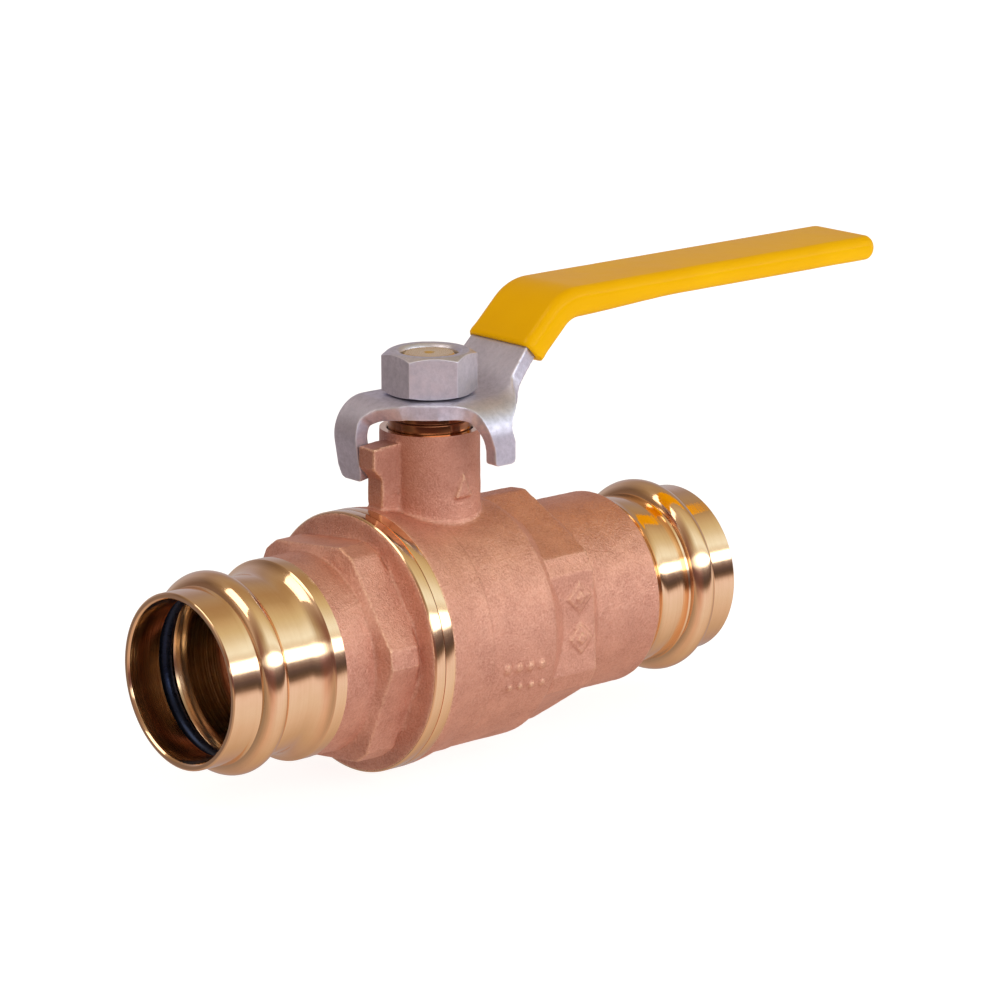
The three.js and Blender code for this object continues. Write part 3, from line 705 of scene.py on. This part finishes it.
def body_casting():
    ring_rear, root = SEAM_X + RING_WIDTH, OUTLET_RIM_X - TUBE_STOP
    shell = revolve("body_casting", [
        (ring_rear + 0.1, 0), (ring_rear + 0.1, 28.55), (-16.6, 28.6),
        *smoothstep_path(-16.3, 28.6, -8.5, BARREL_R),
        (12.5, BARREL_R), (12.9, 27.1), (14.0, 26.4), (15.6, 25.3), (17.4, 24.1), (19.2, 23.0),
        (21.4, 22.1), (24, CAST_R), (root, CAST_R), (root + 0.5, CAST_R - 0.5), (root + 0.5, 0),
    ])
    wrench = revolve("wrench", [
        (13, 0), (13, 23.4), (14.6, 26.6), (27.0, 26.6), (30.0, CAST_R - 0.2), (30.0, 0),
    ], limit=hexagon(REAR_HEX_LAND, REAR_HEX_TURN_DEG))
    neck = revolve("neck", [(0, 0), (0, NECK_R + 0.1), (45.6, NECK_R - 0.05), (45.6, 0)], axis="z")
    lug = prism("lug", [
        (-8, 20), (-8, 42.9), (-13.5, 42.8), (-17.9, 42.4), (-18.0, 37.9), (-15.6, 35.4),
        (-15.5, 20),
    ], "y", -LUG_HALF, LUG_HALF)
    dots = [raised_dot(x + pitch * i, rise_deg - 0.4 * i, size)
            for x, pitch, rise_deg, size in ((-1.0, 3.3, -9.5, 1.05), (0.4, 3.2, -19.5, 0.85))
            for i in range(4)]
    flat_normal = math.radians(REAR_HEX_TURN_DEG - 30)
    out = Vector((0, -math.cos(flat_normal), math.sin(flat_normal)))
    rise = Vector((0, math.sin(flat_normal), math.cos(flat_normal)))
    turn = Matrix((Vector((1, 0, 0)), rise, out)).transposed().to_4x4()
    diamonds = []
    for up in (5.6, -3.6):
        at = Matrix.Translation(out * 23.85 + rise * up + Vector((22.6, 0, 0))) @ turn
        for half, low, high in ((3.3, -2.0, 0.5), (1.3, 0.0, 1.0)):
            diamond = prism("diamond", [(-half, 0), (0, -half), (half, 0), (0, half)], "z", low, high)
            diamond.data.transform(at)
            diamonds.append(diamond)
    badge = prism("badge", [(-2.3, 30.8), (2.3, 30.8), (0, 35.8)], "y", -NECK_R - 0.6, -8)
    join(shell, wrench, neck, lug, *dots, *diamonds, badge)
    remesh(shell, CAST_VOXEL, 4)
    fill_root(shell, lambda p: np.minimum(
        np.abs(np.hypot(p[:, 0], p[:, 1]) - NECK_R), np.abs(np.abs(p[:, 1]) - LUG_HALF)
    ) + np.abs(np.hypot(p[:, 1], p[:, 2]) - BARREL_R) + np.where(p[:, 2] < 20, 9, 0))
    roughen(shell, keep_inside=28.72)
    mark_edges(shell)

    cavity = revolve("cavity", [
        (-40, 0), (-40, THREAD_R), (-9.4, THREAD_R), (-9.4, 23.9), (10.8, 23.9),
        (11.3, SEAT_POCKET_R), (SEAT_POCKET_X, SEAT_POCKET_R), (SEAT_POCKET_X, PORT_R),
        (90, PORT_R), (90, 0),
    ], slot=BORE)
    combine(shell, cavity, "DIFFERENCE")
    top = revolve("neck_face", [(NECK_TOP_Z, 0), (NECK_TOP_Z, 14), (48, 14), (48, 0)], "z",
                  slot=MACHINED)
    combine(shell, top, "DIFFERENCE")
    chamber = revolve("chamber", [
        (0, 0), (0, 8.4), (29.5, 8.4), (29.5, STEM_BORE_R), (32, STEM_BORE_R), (32, CHAMBER_R),
        (NECK_TOP_Z - 0.3, CHAMBER_R), (NECK_TOP_Z + 0.3, CHAMBER_R + 0.6), (NECK_TOP_Z + 0.3, 0),
    ], "z", slot=BORE)
    combine(shell, chamber, "DIFFERENCE")
    tube = press_tube("outlet_end", OUTLET_RIM_X, -1)
    combine(shell, tube, "UNION")
    front = SEAM_X + SEAM_HALF
    ring = revolve("joint_ring", softened([
        (front, THREAD_R), (front, RING_R, 0.12), (ring_rear, RING_R, 0.12),
        (ring_rear + 0.08, 28.3), (ring_rear + 1.2, 28.2), (ring_rear + 1.2, THREAD_R),
    ], steps=2), slot=MACHINED)
    combine(shell, ring, "UNION")
    return shell


def cap_casting():
    ring_front, root = SEAM_X - RING_WIDTH, INLET_RIM_X + TUBE_STOP
    core = revolve("cap_casting", [
        (root - 0.4, 0), (root - 0.4, CAST_R - 0.5), (root + 0.1, CAST_R),
        (-26.0, CAST_R), (-24.6, 22.6), (-23.9, 24.0), (-23.4, 25.6), (-23.0, 27.6),
        (ring_front - 0.1, 28.35), (ring_front + 0.3, 28.35), (ring_front + 0.3, 0),
    ])
    wrench = revolve("wrench", [
        (CAP_HEX_FRONT_X, 0), (CAP_HEX_FRONT_X, CAST_R + 0.3), (CAP_HEX_FRONT_X + 1.3, 26.2),
        (CAP_HEX_REAR_X - 0.6, 26.2), (CAP_HEX_REAR_X + 0.2, 24.2), (CAP_HEX_REAR_X + 0.2, 0),
    ], limit=hexagon(CAP_HEX_LAND, CAP_HEX_TURN_DEG))
    join(core, wrench)
    remesh(core, CAST_VOXEL, 5)
    roughen(core, keep_inside=28.5)
    mark_edges(core)
    bore = revolve("bore", [(-90, 0), (-90, PORT_R), (0, PORT_R), (0, 0)], slot=BORE)
    combine(core, bore, "DIFFERENCE")
    tube = press_tube("inlet_end", INLET_RIM_X, 1, INLET_LAND)
    combine(core, tube, "UNION")
    spigot = revolve("spigot", softened([
        (ring_front - 0.02, 26.0, 0), (ring_front - 0.02, RING_R - 0.3, 0.1),
        (ring_front + 0.3, RING_R, 0.1),
        (SEAM_X - SEAM_HALF, RING_R, 0.12), (SEAM_X - SEAM_HALF, THREAD_R - 0.3, 0.1),
        (-11.3, THREAD_R - 0.3, 0.4), (-11.3, SEAT_POCKET_R, 0.3),
        (-SEAT_POCKET_X, SEAT_POCKET_R, 0.1), (-SEAT_POCKET_X, PORT_R, 0.3),
        (-26, PORT_R, 0), (-26, 20, 0),
    ], steps=2), slot=MACHINED)
    combine(core, spigot, "UNION")
    return core


finish_piece(body_casting(), "housing", ["valve_body"], bronze)
finish_piece(cap_casting(), "housing", ["end_cap"], bronze)


# Seals, seats, ball and packing

def housing_ring(path, name, node, look, axis="x"):
    finish_piece(revolve(name, path, axis), "housing", [node], [look])


def press_seal(end, centre_x):
    section = arc(centre_x, SOCKET_R - SEAL_PROUD + SEAL_WIRE_R, SEAL_WIRE_R, 0, TAU * 27 / 28, 27)
    housing_ring(section, f"{end}_o_ring", f"{end}_press_seal", rubber_look)


def seat(end, side):
    face = BALL_R + 0.15
    first, last = math.acos(13 / face), math.asin(PORT_R / face)
    path = softened([*arc(0, 0, face, first, last, 18), (20.2, PORT_R), (20.2, SEAT_R),
                     (13, SEAT_R)], radius=0.25)
    housing_ring([(side * x, r) for x, r in path], f"{end}_seat_ring", f"{end}_seat",
                 ptfe_look)


press_seal("inlet", INLET_RIM_X + BEAD_CENTRE)
press_seal("outlet", OUTLET_RIM_X - BEAD_CENTRE)
seat("inlet", -1)
seat("outlet", 1)
housing_ring(softened([(-11.0, 22.3), (-11.0, 24.7), (-9.7, 24.7), (-9.7, 22.3)], 0.3),
             "joint_seal", "body_seal_ring", ptfe_look)
housing_ring(softened([(27.75, STEM_BORE_R), (27.75, 8.1), (29.2, 8.1), (29.2, STEM_BORE_R)], 0.2),
             "thrust_washer", "stem_thrust_washer", ptfe_look, "z")
for level, place in enumerate(("lower", "middle", "upper")):
    low = PACKING_BOTTOM_Z + PACKING_STEP * level
    middle = (STEM_BORE_R + PACKING_R) / 2
    chevron = softened([
        (low, STEM_BORE_R), (low + 0.75, middle), (low, PACKING_R), (low + 1.35, PACKING_R),
        (low + 2.2, middle), (low + 1.35, STEM_BORE_R),
    ], 0.15)
    housing_ring(chevron, f"chevron_{place}", f"packing_ring_{place}", ptfe_look,
                 "z")
housing_ring(softened([
    (39.7, STEM_BORE_R), (40.3, 7.7), (39.7, PACKING_R), (41.6, PACKING_R), (41.6, STEM_BORE_R),
], 0.15), "follower_ring", "gland_follower", gland_look, "z")
housing_ring(softened([
    (41.9, STEM_BORE_R, 0.2), (41.9, 9.1), (46.55, 9.1, 0.3), (46.75, 8.55, 0.1),
    (48.15, 8.55, 0.3), (48.15, STEM_BORE_R + 0.3), (47.8, STEM_BORE_R),
]), "gland_nut", "packing_nut", gland_look, "z")


def ball():
    inner = math.acos(PORT_R / BALL_R)
    surface = arc(0, 0, BALL_R, math.pi / 2 + inner - 0.02, math.pi / 2 - inner + 0.02, 64)
    edge = math.sqrt(BALL_R ** 2 - PORT_R ** 2)
    path = [*surface, (edge - 0.35, PORT_R + 0.05), (edge - 0.8, PORT_R), (-edge + 0.8, PORT_R),
            (-edge + 0.35, PORT_R + 0.05)]
    made = revolve("chrome_ball", path)
    slot = prism("slot", softened(rectangle(BALL_SLOT_HALF, 30), 0.1), "z", 17.5, 30)
    combine(made, slot, "DIFFERENCE")
    finish_piece(made, "closure", ["ball"], [chrome_look])


ball()


# Stem and lever nut

def thread(along, radius, angle):
    """Lift that cuts the screw thread into the stem."""
    turns = (along - THREAD_BOTTOM_Z) / THREAD_PITCH - angle / TAU
    wave = np.abs((turns % 1) - 0.5) * 2
    fade = np.clip((along - THREAD_BOTTOM_Z) / 0.8, 0, 1) * np.clip((THREAD_TOP_Z - along) / 0.5, 0, 1)
    cut = THREAD_DEPTH * np.clip(wave * 1.25 - 0.1, 0, 1) * fade
    return np.where(np.abs(radius - STEM_R) < 0.3, -cut, 0)


def valve_stem():
    threaded = [(z, STEM_R) for z in np.arange(THREAD_BOTTOM_Z, STEM_TOP_Z - 0.95, 0.14)]
    path = [
        (24.2, 0), (24.2, 7.7), (24.5, 8.05), (27.2, 8.05), (27.5, 7.8), (27.5, STEM_R),
        (48.2, STEM_R), *threaded,
        *softened([(THREAD_TOP_Z, STEM_R), (STEM_TOP_Z, 5.15, 0.3), (STEM_TOP_Z - 0.02, 4.2)],
                  steps=4, closed=False),
        (STEM_TOP_Z - 0.06, 1.3), (STEM_TOP_Z - 0.7, 0.25), (STEM_TOP_Z - 0.75, 0),
    ]
    made = revolve("valve_stem", path, "z", steps=128, lift=thread)
    for side in (-1, 1):
        low, high = sorted((side * STEM_FLATS_HALF, side * 20))
        flat = prism("flat", [(-20, low), (20, low), (20, high), (-20, high)], "z", 48.2, 52.05)
        combine(made, flat, "DIFFERENCE")
    tang = prism("tang", softened(rectangle(TANG_HALF, TANG_REACH), 0.3), "z", 17.8, 25)
    combine(made, tang, "UNION")
    finish_piece(made, "handle", ["stem"], [stem_look])


def hex_nut():
    flat = NUT_FLATS / 2

    def limit(angle):
        from_flat = (angle - math.radians(NUT_TURN_DEG)) % (TAU / 6) - TAU / 12
        return flat / np.cos(from_flat)

    corner = flat / math.cos(TAU / 12)
    low, high = NUT_BOTTOM_Z, NUT_TOP_Z
    drop = 0.95
    outer = [(low, flat * 0.96), *[(low + drop * 0.6 * s, flat * 0.97 + (corner - flat * 0.97) * s)
                                   for s in np.linspace(0, 1, 9)]]
    outer += [(z, corner) for z in np.linspace(low + 0.7, high - drop, 40)]
    outer += [(high - drop * (1 - s), corner + (flat * 0.95 - corner) * s)
              for s in np.linspace(0.08, 1, 14)]
    inner_r = STEM_R + 0.3
    top = [(high, r) for r in np.linspace(flat * 0.93, inner_r + 0.75, 12)]
    bore = [(high - 0.3, inner_r + 0.4), (high - 0.7, inner_r)]
    bore += [(z, inner_r) for z in np.arange(high - 0.8, low + 0.7, -0.16)]
    bore += [(low + 0.4, inner_r + 0.3), (low, inner_r + 0.7)]
    bottom = [(low, r) for r in np.linspace(inner_r + 1.2, flat * 0.93, 8)]
    made = revolve("hex_nut", [*outer, *top, *bore, *bottom], "z", steps=360, limit=limit)
    smooth(made, 3)
    points, normals = vertices_of(made), normals_of(made)
    place_vertices(made, points + normals * (0.02 * noise(points, 1.6, 8))[:, None])
    mark_edges(made)
    finish_piece(made, "handle", ["lever_nut"], [nut_look])


valve_stem()
hex_nut()


# Lever: a flat blank wrapped round its bends

slope = math.atan2(HEAD_Z - HUB_MIDDLE_Z, HEAD_BEND_X - FOOT_BEND_X)
tangent = ARM_BEND_R * math.tan(slope / 2)
incline = math.hypot(HEAD_Z - HUB_MIDDLE_Z, HEAD_BEND_X - FOOT_BEND_X) - 2 * tangent
ARM_RUNS = [
    (FOOT_BEND_X - tangent, 0), (ARM_BEND_R * slope, slope), (incline, 0),
    (ARM_BEND_R * slope, -slope),
]
FLAT_TO_HEAD = sum(length for length, _ in ARM_RUNS)
ARM_TIP = FLAT_TO_HEAD + ARM_TIP_X - (HEAD_BEND_X + tangent)
GRIP_TIP = ARM_TIP + GRIP_TIP_X - ARM_TIP_X
stop_turn = math.radians(STOP_EAR_TURN_DEG)
STOP_RUNS = [(STOP_EAR_BEND_START, 0), (EAR_BEND_R * stop_turn, -stop_turn)]
SIDE_RUNS = [(SIDE_EAR_BEND_START, 0), (EAR_BEND_R * TAU / 4, -TAU / 4)]
STOP_END = sum(length for length, _ in STOP_RUNS) + STOP_EAR_DROP
SIDE_END = sum(length for length, _ in SIDE_RUNS) + SIDE_EAR_DROP


def wrap(distance, height, runs):
    """Takes distance along a flat strip, and height off its middle, round the given bends."""
    along, up = np.array(distance, float), np.zeros(len(distance))
    heading = np.zeros(len(distance))
    start, place, rise, angle = 0.0, 0.0, 0.0, 0.0
    for length, turn in [*runs, (np.inf, 0)]:
        here = (distance >= start) & (distance < start + length)
        local = distance[here] - start
        if turn:
            bend = turn / length
            heading[here] = angle + bend * local
            along[here] = place + (np.sin(heading[here]) - math.sin(angle)) / bend
            up[here] = rise - (np.cos(heading[here]) - math.cos(angle)) / bend
            place += (math.sin(angle + turn) - math.sin(angle)) / bend
            rise -= (math.cos(angle + turn) - math.cos(angle)) / bend
        else:
            heading[here] = angle
            along[here] = place + local * math.cos(angle)
            up[here] = rise + local * math.sin(angle)
            place += length * math.cos(angle)
            rise += length * math.sin(angle)
        angle += turn
        start += length
    return along - height * np.sin(heading), up + height * np.cos(heading)


def fold(points):
    """Brings points of the flat blank to the bent lever."""
    u, v, w = points.T
    x, rise = wrap(np.maximum(u, 0), w, ARM_RUNS)
    back, back_rise = wrap(np.maximum(-u, 0), w, STOP_RUNS)
    side, side_rise = wrap(np.maximum(-v, 0), w, SIDE_RUNS)
    x = np.where(u < 0, -back, x)
    rise = np.where(u < 0, back_rise, rise)
    y = np.where(v < 0, -side, v)
    return np.stack([x, y, rise + side_rise - w + HUB_MIDDLE_Z], 1)


def lever():
    outline = softened([
        (2.85, -SIDE_END, 0.9), (8.7, -SIDE_END, 1.2), (8.7, -21.2, 1.5), (7.7, -18.9, 2.5),
        (9.1, -17.2, 2.0), (11.3, -15.8, 1.5), (13.3, -13.9, 2.5), (15.0, -11.9, 2.5),
        (16.6, -10.75, 3), (19.5, -10.1, 5), (25.0, -ARM_HALF, 5),
        (ARM_TIP, -ARM_HALF, ARM_TIP_CORNER_R), (ARM_TIP, ARM_HALF, ARM_TIP_CORNER_R),
        (22.0, ARM_HALF, 6), (12.0, 10.2, 6), (-STOP_END + 3.0, 10.4, 3), (-STOP_END, 9.6, 1.8),
        (-STOP_END, 2.9, 1.2), (-16.9, 2.9, 2.2), (-14.6, 0.2, 3), (-12.6, -4.8, 5),
        (-9.6, -8.2, 5), (-6.4, -11.0, 5), (-1.7, -13.3, 3), (-0.1, -15.0, 2.5), (1.1, -18.4, 5),
        (2.7, -22.4, 5),
    ], steps=8)
    blank = prism("lever_plate", outline, "z", -PLATE / 2, PLATE / 2)
    hole = prism("hole", arc(0, 0, STEM_R + 0.25, 0, TAU * 47 / 48, 47), "z", -5, 5)
    vertices = vertices_of(hole)
    vertices[:, 1] = np.clip(vertices[:, 1], -4.5, 4.5)
    place_vertices(hole, vertices)
    combine(blank, hole, "DIFFERENCE")
    remesh(blank, PLATE_VOXEL, 3)
    points, normals = vertices_of(blank), normals_of(blank)
    waves = 0.03 * noise(points, 6.0, 11) + 0.015 * noise(points, 1.5, 12)
    sheared = np.abs(normals[:, 2]) < 0.5
    tear = 0.05 * noise(points * np.array([1, 1, 0.25]), 0.7, 13) * sheared
    points = points + normals * (waves + tear)[:, None]
    place_vertices(blank, points)
    mark_edges(blank)
    place_vertices(blank, fold(points))
    finish_piece(blank, "handle", ["lever"], [plate_look])


def grip_section(half_width, half_thick, corner):
    """A rounded rectangle, the same number of points whatever its size."""
    corner = min(corner, half_width * 0.98, half_thick * 0.98)
    result = []
    for sign_y, sign_z, start in ((1, 1, 0), (-1, 1, 1), (-1, -1, 2), (1, -1, 3)):
        for share in np.linspace(0, 1, GRIP_CORNER_POINTS):
            a = (start + share) * TAU / 4
            result.append((sign_y * (half_width - corner) + corner * math.cos(a),
                           sign_z * (half_thick - corner) + corner * math.sin(a)))
    return result


def strip_half(distance_to_tip, half, corner):
    """Half width, or half thickness, of a strip near its rounded tip."""
    if distance_to_tip >= corner:
        return half
    reach = max(corner ** 2 - (corner - distance_to_tip) ** 2, 0)
    return half - corner + math.sqrt(reach)


def vinyl_grip():
    rows = []
    stations = [GRIP_START, *np.linspace(GRIP_START + 0.15, GRIP_START + 0.9, 4),
                *np.arange(GRIP_START + 1.4, GRIP_TIP - 9, 0.6)]
    stations += list(GRIP_TIP - 9 * np.cos(np.linspace(0, TAU / 4, 40)[:-1]))
    for u in stations:
        left = GRIP_TIP - u
        lip = max(0.0, 1 - (u - GRIP_START) / 0.55)
        rim = 0.35 * lip ** 2
        swell = 0.12 * math.exp(-(((u - GRIP_START - 1.3) / 0.9) ** 2))
        thick = strip_half(left, GRIP_THICK / 2, GRIP_EDGE_R)
        half = strip_half(left, GRIP_HALF, GRIP_TIP_CORNER_R)
        sag = GRIP_SAG * min(1, max(0, (GRIP_SAG_END - u) / (GRIP_SAG_END - GRIP_SAG_START)))
        sag = sag * sag * (3 * GRIP_SAG - 2 * sag) / GRIP_SAG ** 2 * (1 - lip)
        section = grip_section(max(half - rim + swell, 0.05),
                               max(thick - rim + swell * 0.6 + sag / 2, 0.03), GRIP_EDGE_R)
        rows.append([(u, y, z - sag / 2) for y, z in section])
    rows.append([(GRIP_TIP, 0, 0)] * len(rows[0]))
    inner_half, inner_thick, inner_tip = ARM_HALF + 0.12, PLATE / 2 + 0.08, ARM_TIP + 0.3
    rows.append([(inner_tip, 0, 0)] * len(rows[0]))
    inner = list(inner_tip - ARM_TIP_CORNER_R * np.cos(np.linspace(0, TAU / 4, 8)))[::-1][1:]
    inner += list(np.arange(ARM_TIP - 3.5, GRIP_START + 0.3, -1.2)) + [GRIP_START + 0.12, GRIP_START]
    for u in inner:
        half = strip_half(inner_tip - u, inner_half, ARM_TIP_CORNER_R)
        open_up = 0.18 * max(0.0, 1 - (u - GRIP_START) / 0.3)
        rows.append([(u, y, z) for y, z in grip_section(half + open_up, inner_thick + open_up, 0.4)])
    made = to_object("vinyl_grip", from_grid(rows))
    points, normals = vertices_of(made), normals_of(made)
    outer = np.abs(points[:, 2]) > inner_thick + 0.25
    outer |= np.abs(points[:, 1]) > inner_half + 0.3
    waves = 0.05 * noise(points, 9.0, 15) + 0.02 * noise(points, 3.0, 16)
    points = points + normals * (np.minimum(waves, 0) * outer)[:, None]
    place_vertices(made, fold(points))
    finish_piece(made, "handle", ["lever_grip"], [vinyl_look],
                 sharp=math.radians(50))


lever()
vinyl_grip()


# Studio, in metres

CAMERA_BEARING = math.radians(48.852)
CAMERA_ELEVATION = math.radians(14.072)
CAMERA_DISTANCE = 0.9872
CAMERA_AIM_RIGHT = 0.01526
CAMERA_AIM_UP = 0.02715
CAMERA_LENS = 161.9
CAMERA_SENSOR = 36
FLOOR_Z = cad_box[0].z - 0.0003
FLOOR_RADIUS = 6.0
FLOOR_GLOW = 0.86
DOME_RADIUS = 8.0
DOME_GLOW = 1.15

forward = Vector((
    math.cos(CAMERA_BEARING) * math.cos(CAMERA_ELEVATION),
    math.sin(CAMERA_BEARING) * math.cos(CAMERA_ELEVATION),
    -math.sin(CAMERA_ELEVATION),
))
right = forward.cross(Vector((0, 0, 1))).normalized()
up = right.cross(forward)
camera_data = bpy.data.cameras.new("camera")
camera_data.lens = CAMERA_LENS
camera_data.sensor_width = CAMERA_SENSOR
camera_data.clip_start, camera_data.clip_end = 0.05, 50
camera = bpy.data.objects.new("camera", camera_data)
bpy.context.scene.collection.objects.link(camera)
camera.location = right * CAMERA_AIM_RIGHT + up * CAMERA_AIM_UP - forward * CAMERA_DISTANCE
camera.rotation_mode = "QUATERNION"
camera.rotation_quaternion = forward.to_track_quat("-Z", "Y")
bpy.context.scene.camera = camera


def stage_disc():
    """The white floor, with an even light of its own."""
    builder = bmesh.new()
    bmesh.ops.create_circle(builder, cap_ends=True, radius=FLOOR_RADIUS, segments=96,
                            matrix=Matrix.Translation((0, 0, FLOOR_Z)))
    disc = to_object("floor", builder)
    look = Shader("floor_look", Base_Color=(0.35, 0.35, 0.35),
                  Emission_Color=(1.0, 0.995, 0.985), Emission_Strength=FLOOR_GLOW)
    look.set(Roughness=look.ramp(look.noise(0.02), 0.3, 0.7, 0.85, 0.95))
    disc.data.materials.append(look.material)
    disc.visible_glossy = False


def backdrop():
    """A white dome that only the camera sees."""
    builder = bmesh.new()
    bmesh.ops.create_icosphere(builder, subdivisions=4, radius=DOME_RADIUS)
    bmesh.ops.reverse_faces(builder, faces=builder.faces)
    dome = to_object("backdrop", builder)
    look = Shader("backdrop_look", Base_Color=(0.0, 0.0, 0.0), Roughness=1.0,
                  Emission_Color=(1.0, 0.998, 0.992), Emission_Strength=DOME_GLOW)
    dome.data.materials.append(look.material)
    for kind in ("diffuse", "glossy", "shadow", "transmission", "volume_scatter"):
        setattr(dome, f"visible_{kind}", False)


def softbox(name, azimuth, elevation, distance, width, height, radiance, colour):
    """A rectangular light aimed at the valve. Azimuth runs from +X towards +Y, in degrees."""
    a, e = math.radians(azimuth), math.radians(elevation)
    towards = Vector((math.cos(a) * math.cos(e), math.sin(a) * math.cos(e), math.sin(e)))
    data = bpy.data.lights.new(name, "AREA")
    data.shape = "RECTANGLE"
    data.size, data.size_y = width, height
    data.energy = radiance * math.pi * width * height
    data.color = colour
    light = bpy.data.objects.new(name, data)
    light.location = towards * distance
    light.rotation_mode = "QUATERNION"
    light.rotation_quaternion = towards.to_track_quat("Z", "Y")
    light.visible_camera = False
    bpy.context.scene.collection.objects.link(light)


stage_disc()
backdrop()
softbox("overhead", azimuth=164, elevation=54, distance=1.3, width=0.72, height=0.85,
        radiance=2.1, colour=(1.0, 0.93, 0.86))

# The room as the metal sees it, by the angle round the pipe axis: 0 is level on the near side and 90
# is overhead. Each column is for one bearing along the pipe, from the sine of its angle.
STRIP = 3.4                 # the long bright window seen as the highlight along the pipe
ROOM = {
    -0.94: (
        (-180, (0.20, 0.14, 0.11)), (-120, (0.32, 0.26, 0.22)), (-60, (0.42, 0.33, 0.27)),
        (-40, (0.54, 0.40, 0.32)), (-30, (0.48, 0.33, 0.26)), (-22, (0.24, 0.13, 0.12)),
        (-14, (0.13, 0.07, 0.07)), (4, (0.18, 0.10, 0.11)), (9, (0.28, 0.15, 0.16)),
        (13, (0.85, 0.82, 0.85)), (25, (0.85, 0.82, 0.80)), (29, (0.50, 0.40, 0.40)),
        (33, (0.28, 0.15, 0.12)), (60, (0.25, 0.14, 0.12)), (75, (0.34, 0.24, 0.19)),
        (100, (0.58, 0.48, 0.42)), (120, (0.58, 0.45, 0.38)), (140, (0.32, 0.22, 0.15)),
        (180, (0.20, 0.14, 0.11)),
    ),
    -0.5: (
        (-180, (0.22, 0.16, 0.15)), (-150, (0.25, 0.20, 0.20)), (-120, (0.42, 0.33, 0.29)),
        (-90, (0.62, 0.45, 0.37)), (-60, (0.75, 0.54, 0.46)), (-40, (0.78, 0.57, 0.54)),
        (-20, (0.74, 0.50, 0.45)), (-16, (0.66, 0.43, 0.40)), (-11, (0.28, 0.14, 0.12)),
        (-5, (0.18, 0.09, 0.08)), (3, (0.20, 0.11, 0.12)), (9, (0.40, 0.26, 0.30)),
        (13.5, (1.0, 1.0, 1.1)), (15.5, (STRIP, STRIP, STRIP)), (25.5, (STRIP, STRIP, STRIP)),
        (28.5, (0.62, 0.56, 0.50)), (38, (0.58, 0.53, 0.42)), (50, (0.44, 0.35, 0.24)),
        (65, (0.43, 0.34, 0.26)), (85, (0.60, 0.50, 0.42)), (110, (0.60, 0.50, 0.38)),
        (128, (0.32, 0.23, 0.15)), (150, (0.17, 0.12, 0.10)), (170, (0.20, 0.14, 0.13)),
        (180, (0.22, 0.16, 0.15)),
    ),
    0.0: (
        (-180, (0.50, 0.47, 0.51)), (-150, (0.42, 0.36, 0.37)), (-120, (0.47, 0.34, 0.30)),
        (-90, (0.60, 0.46, 0.36)), (-60, (0.76, 0.62, 0.56)), (-40, (0.83, 0.73, 0.71)),
        (-22, (0.89, 0.79, 0.83)), (-16, (0.88, 0.76, 0.80)), (-12, (0.66, 0.53, 0.52)),
        (-8.5, (0.24, 0.17, 0.15)), (-4, (0.11, 0.08, 0.07)), (2, (0.12, 0.09, 0.10)),
        (8, (0.25, 0.19, 0.20)), (12.5, (0.50, 0.48, 0.56)), (14.5, (STRIP, STRIP, STRIP * 1.05)),
        (26.5, (STRIP, STRIP, STRIP)), (29, (0.88, 0.92, 0.93)), (33, (0.90, 0.95, 0.92)),
        (39, (1.02, 1.17, 1.24)), (48, (0.94, 1.02, 0.99)), (56, (0.80, 0.80, 0.68)),
        (66, (0.71, 0.66, 0.47)), (80, (0.60, 0.50, 0.33)), (92, (0.46, 0.35, 0.21)),
        (106, (0.42, 0.30, 0.18)), (122, (0.42, 0.33, 0.24)), (142, (0.37, 0.30, 0.29)),
        (162, (0.46, 0.42, 0.50)), (180, (0.50, 0.47, 0.51)),
    ),
}

world = bpy.data.worlds.new("studio")
bpy.context.scene.world = world
world.use_nodes = True
room = Nodes(world.node_tree)
looking = room.node("ShaderNodeTexCoord", {}, output="Generated")
split = room.node("ShaderNodeSeparateXYZ", {0: looking}).node.outputs
round_pipe = room.math("ARCTAN2", split["Z"], room.math("MULTIPLY", split["Y"], -1.0))
round_pipe = room.node("ShaderNodeMath", {0: round_pipe, 1: 1 / TAU, 2: 0.5},
                       operation="MULTIPLY_ADD")
blend = from_sine = None
for sine, stops in ROOM.items():
    column = room.node("ShaderNodeValToRGB", {0: round_pipe})
    elements = column.node.color_ramp.elements
    while len(elements) < len(stops):
        elements.new(0.5)
    for element, (angle, colour) in zip(elements, stops):
        element.position = (angle + 180) / 360
        element.color = (*colour, 1)
    if blend is not None:
        column = room.mix(room.ramp(split["X"], from_sine, sine), blend, column)
    blend, from_sine = column, sine
room.plug(world.node_tree.nodes["Background"].inputs["Color"], blend)

bpy.context.scene.view_settings.view_transform = "Standard"
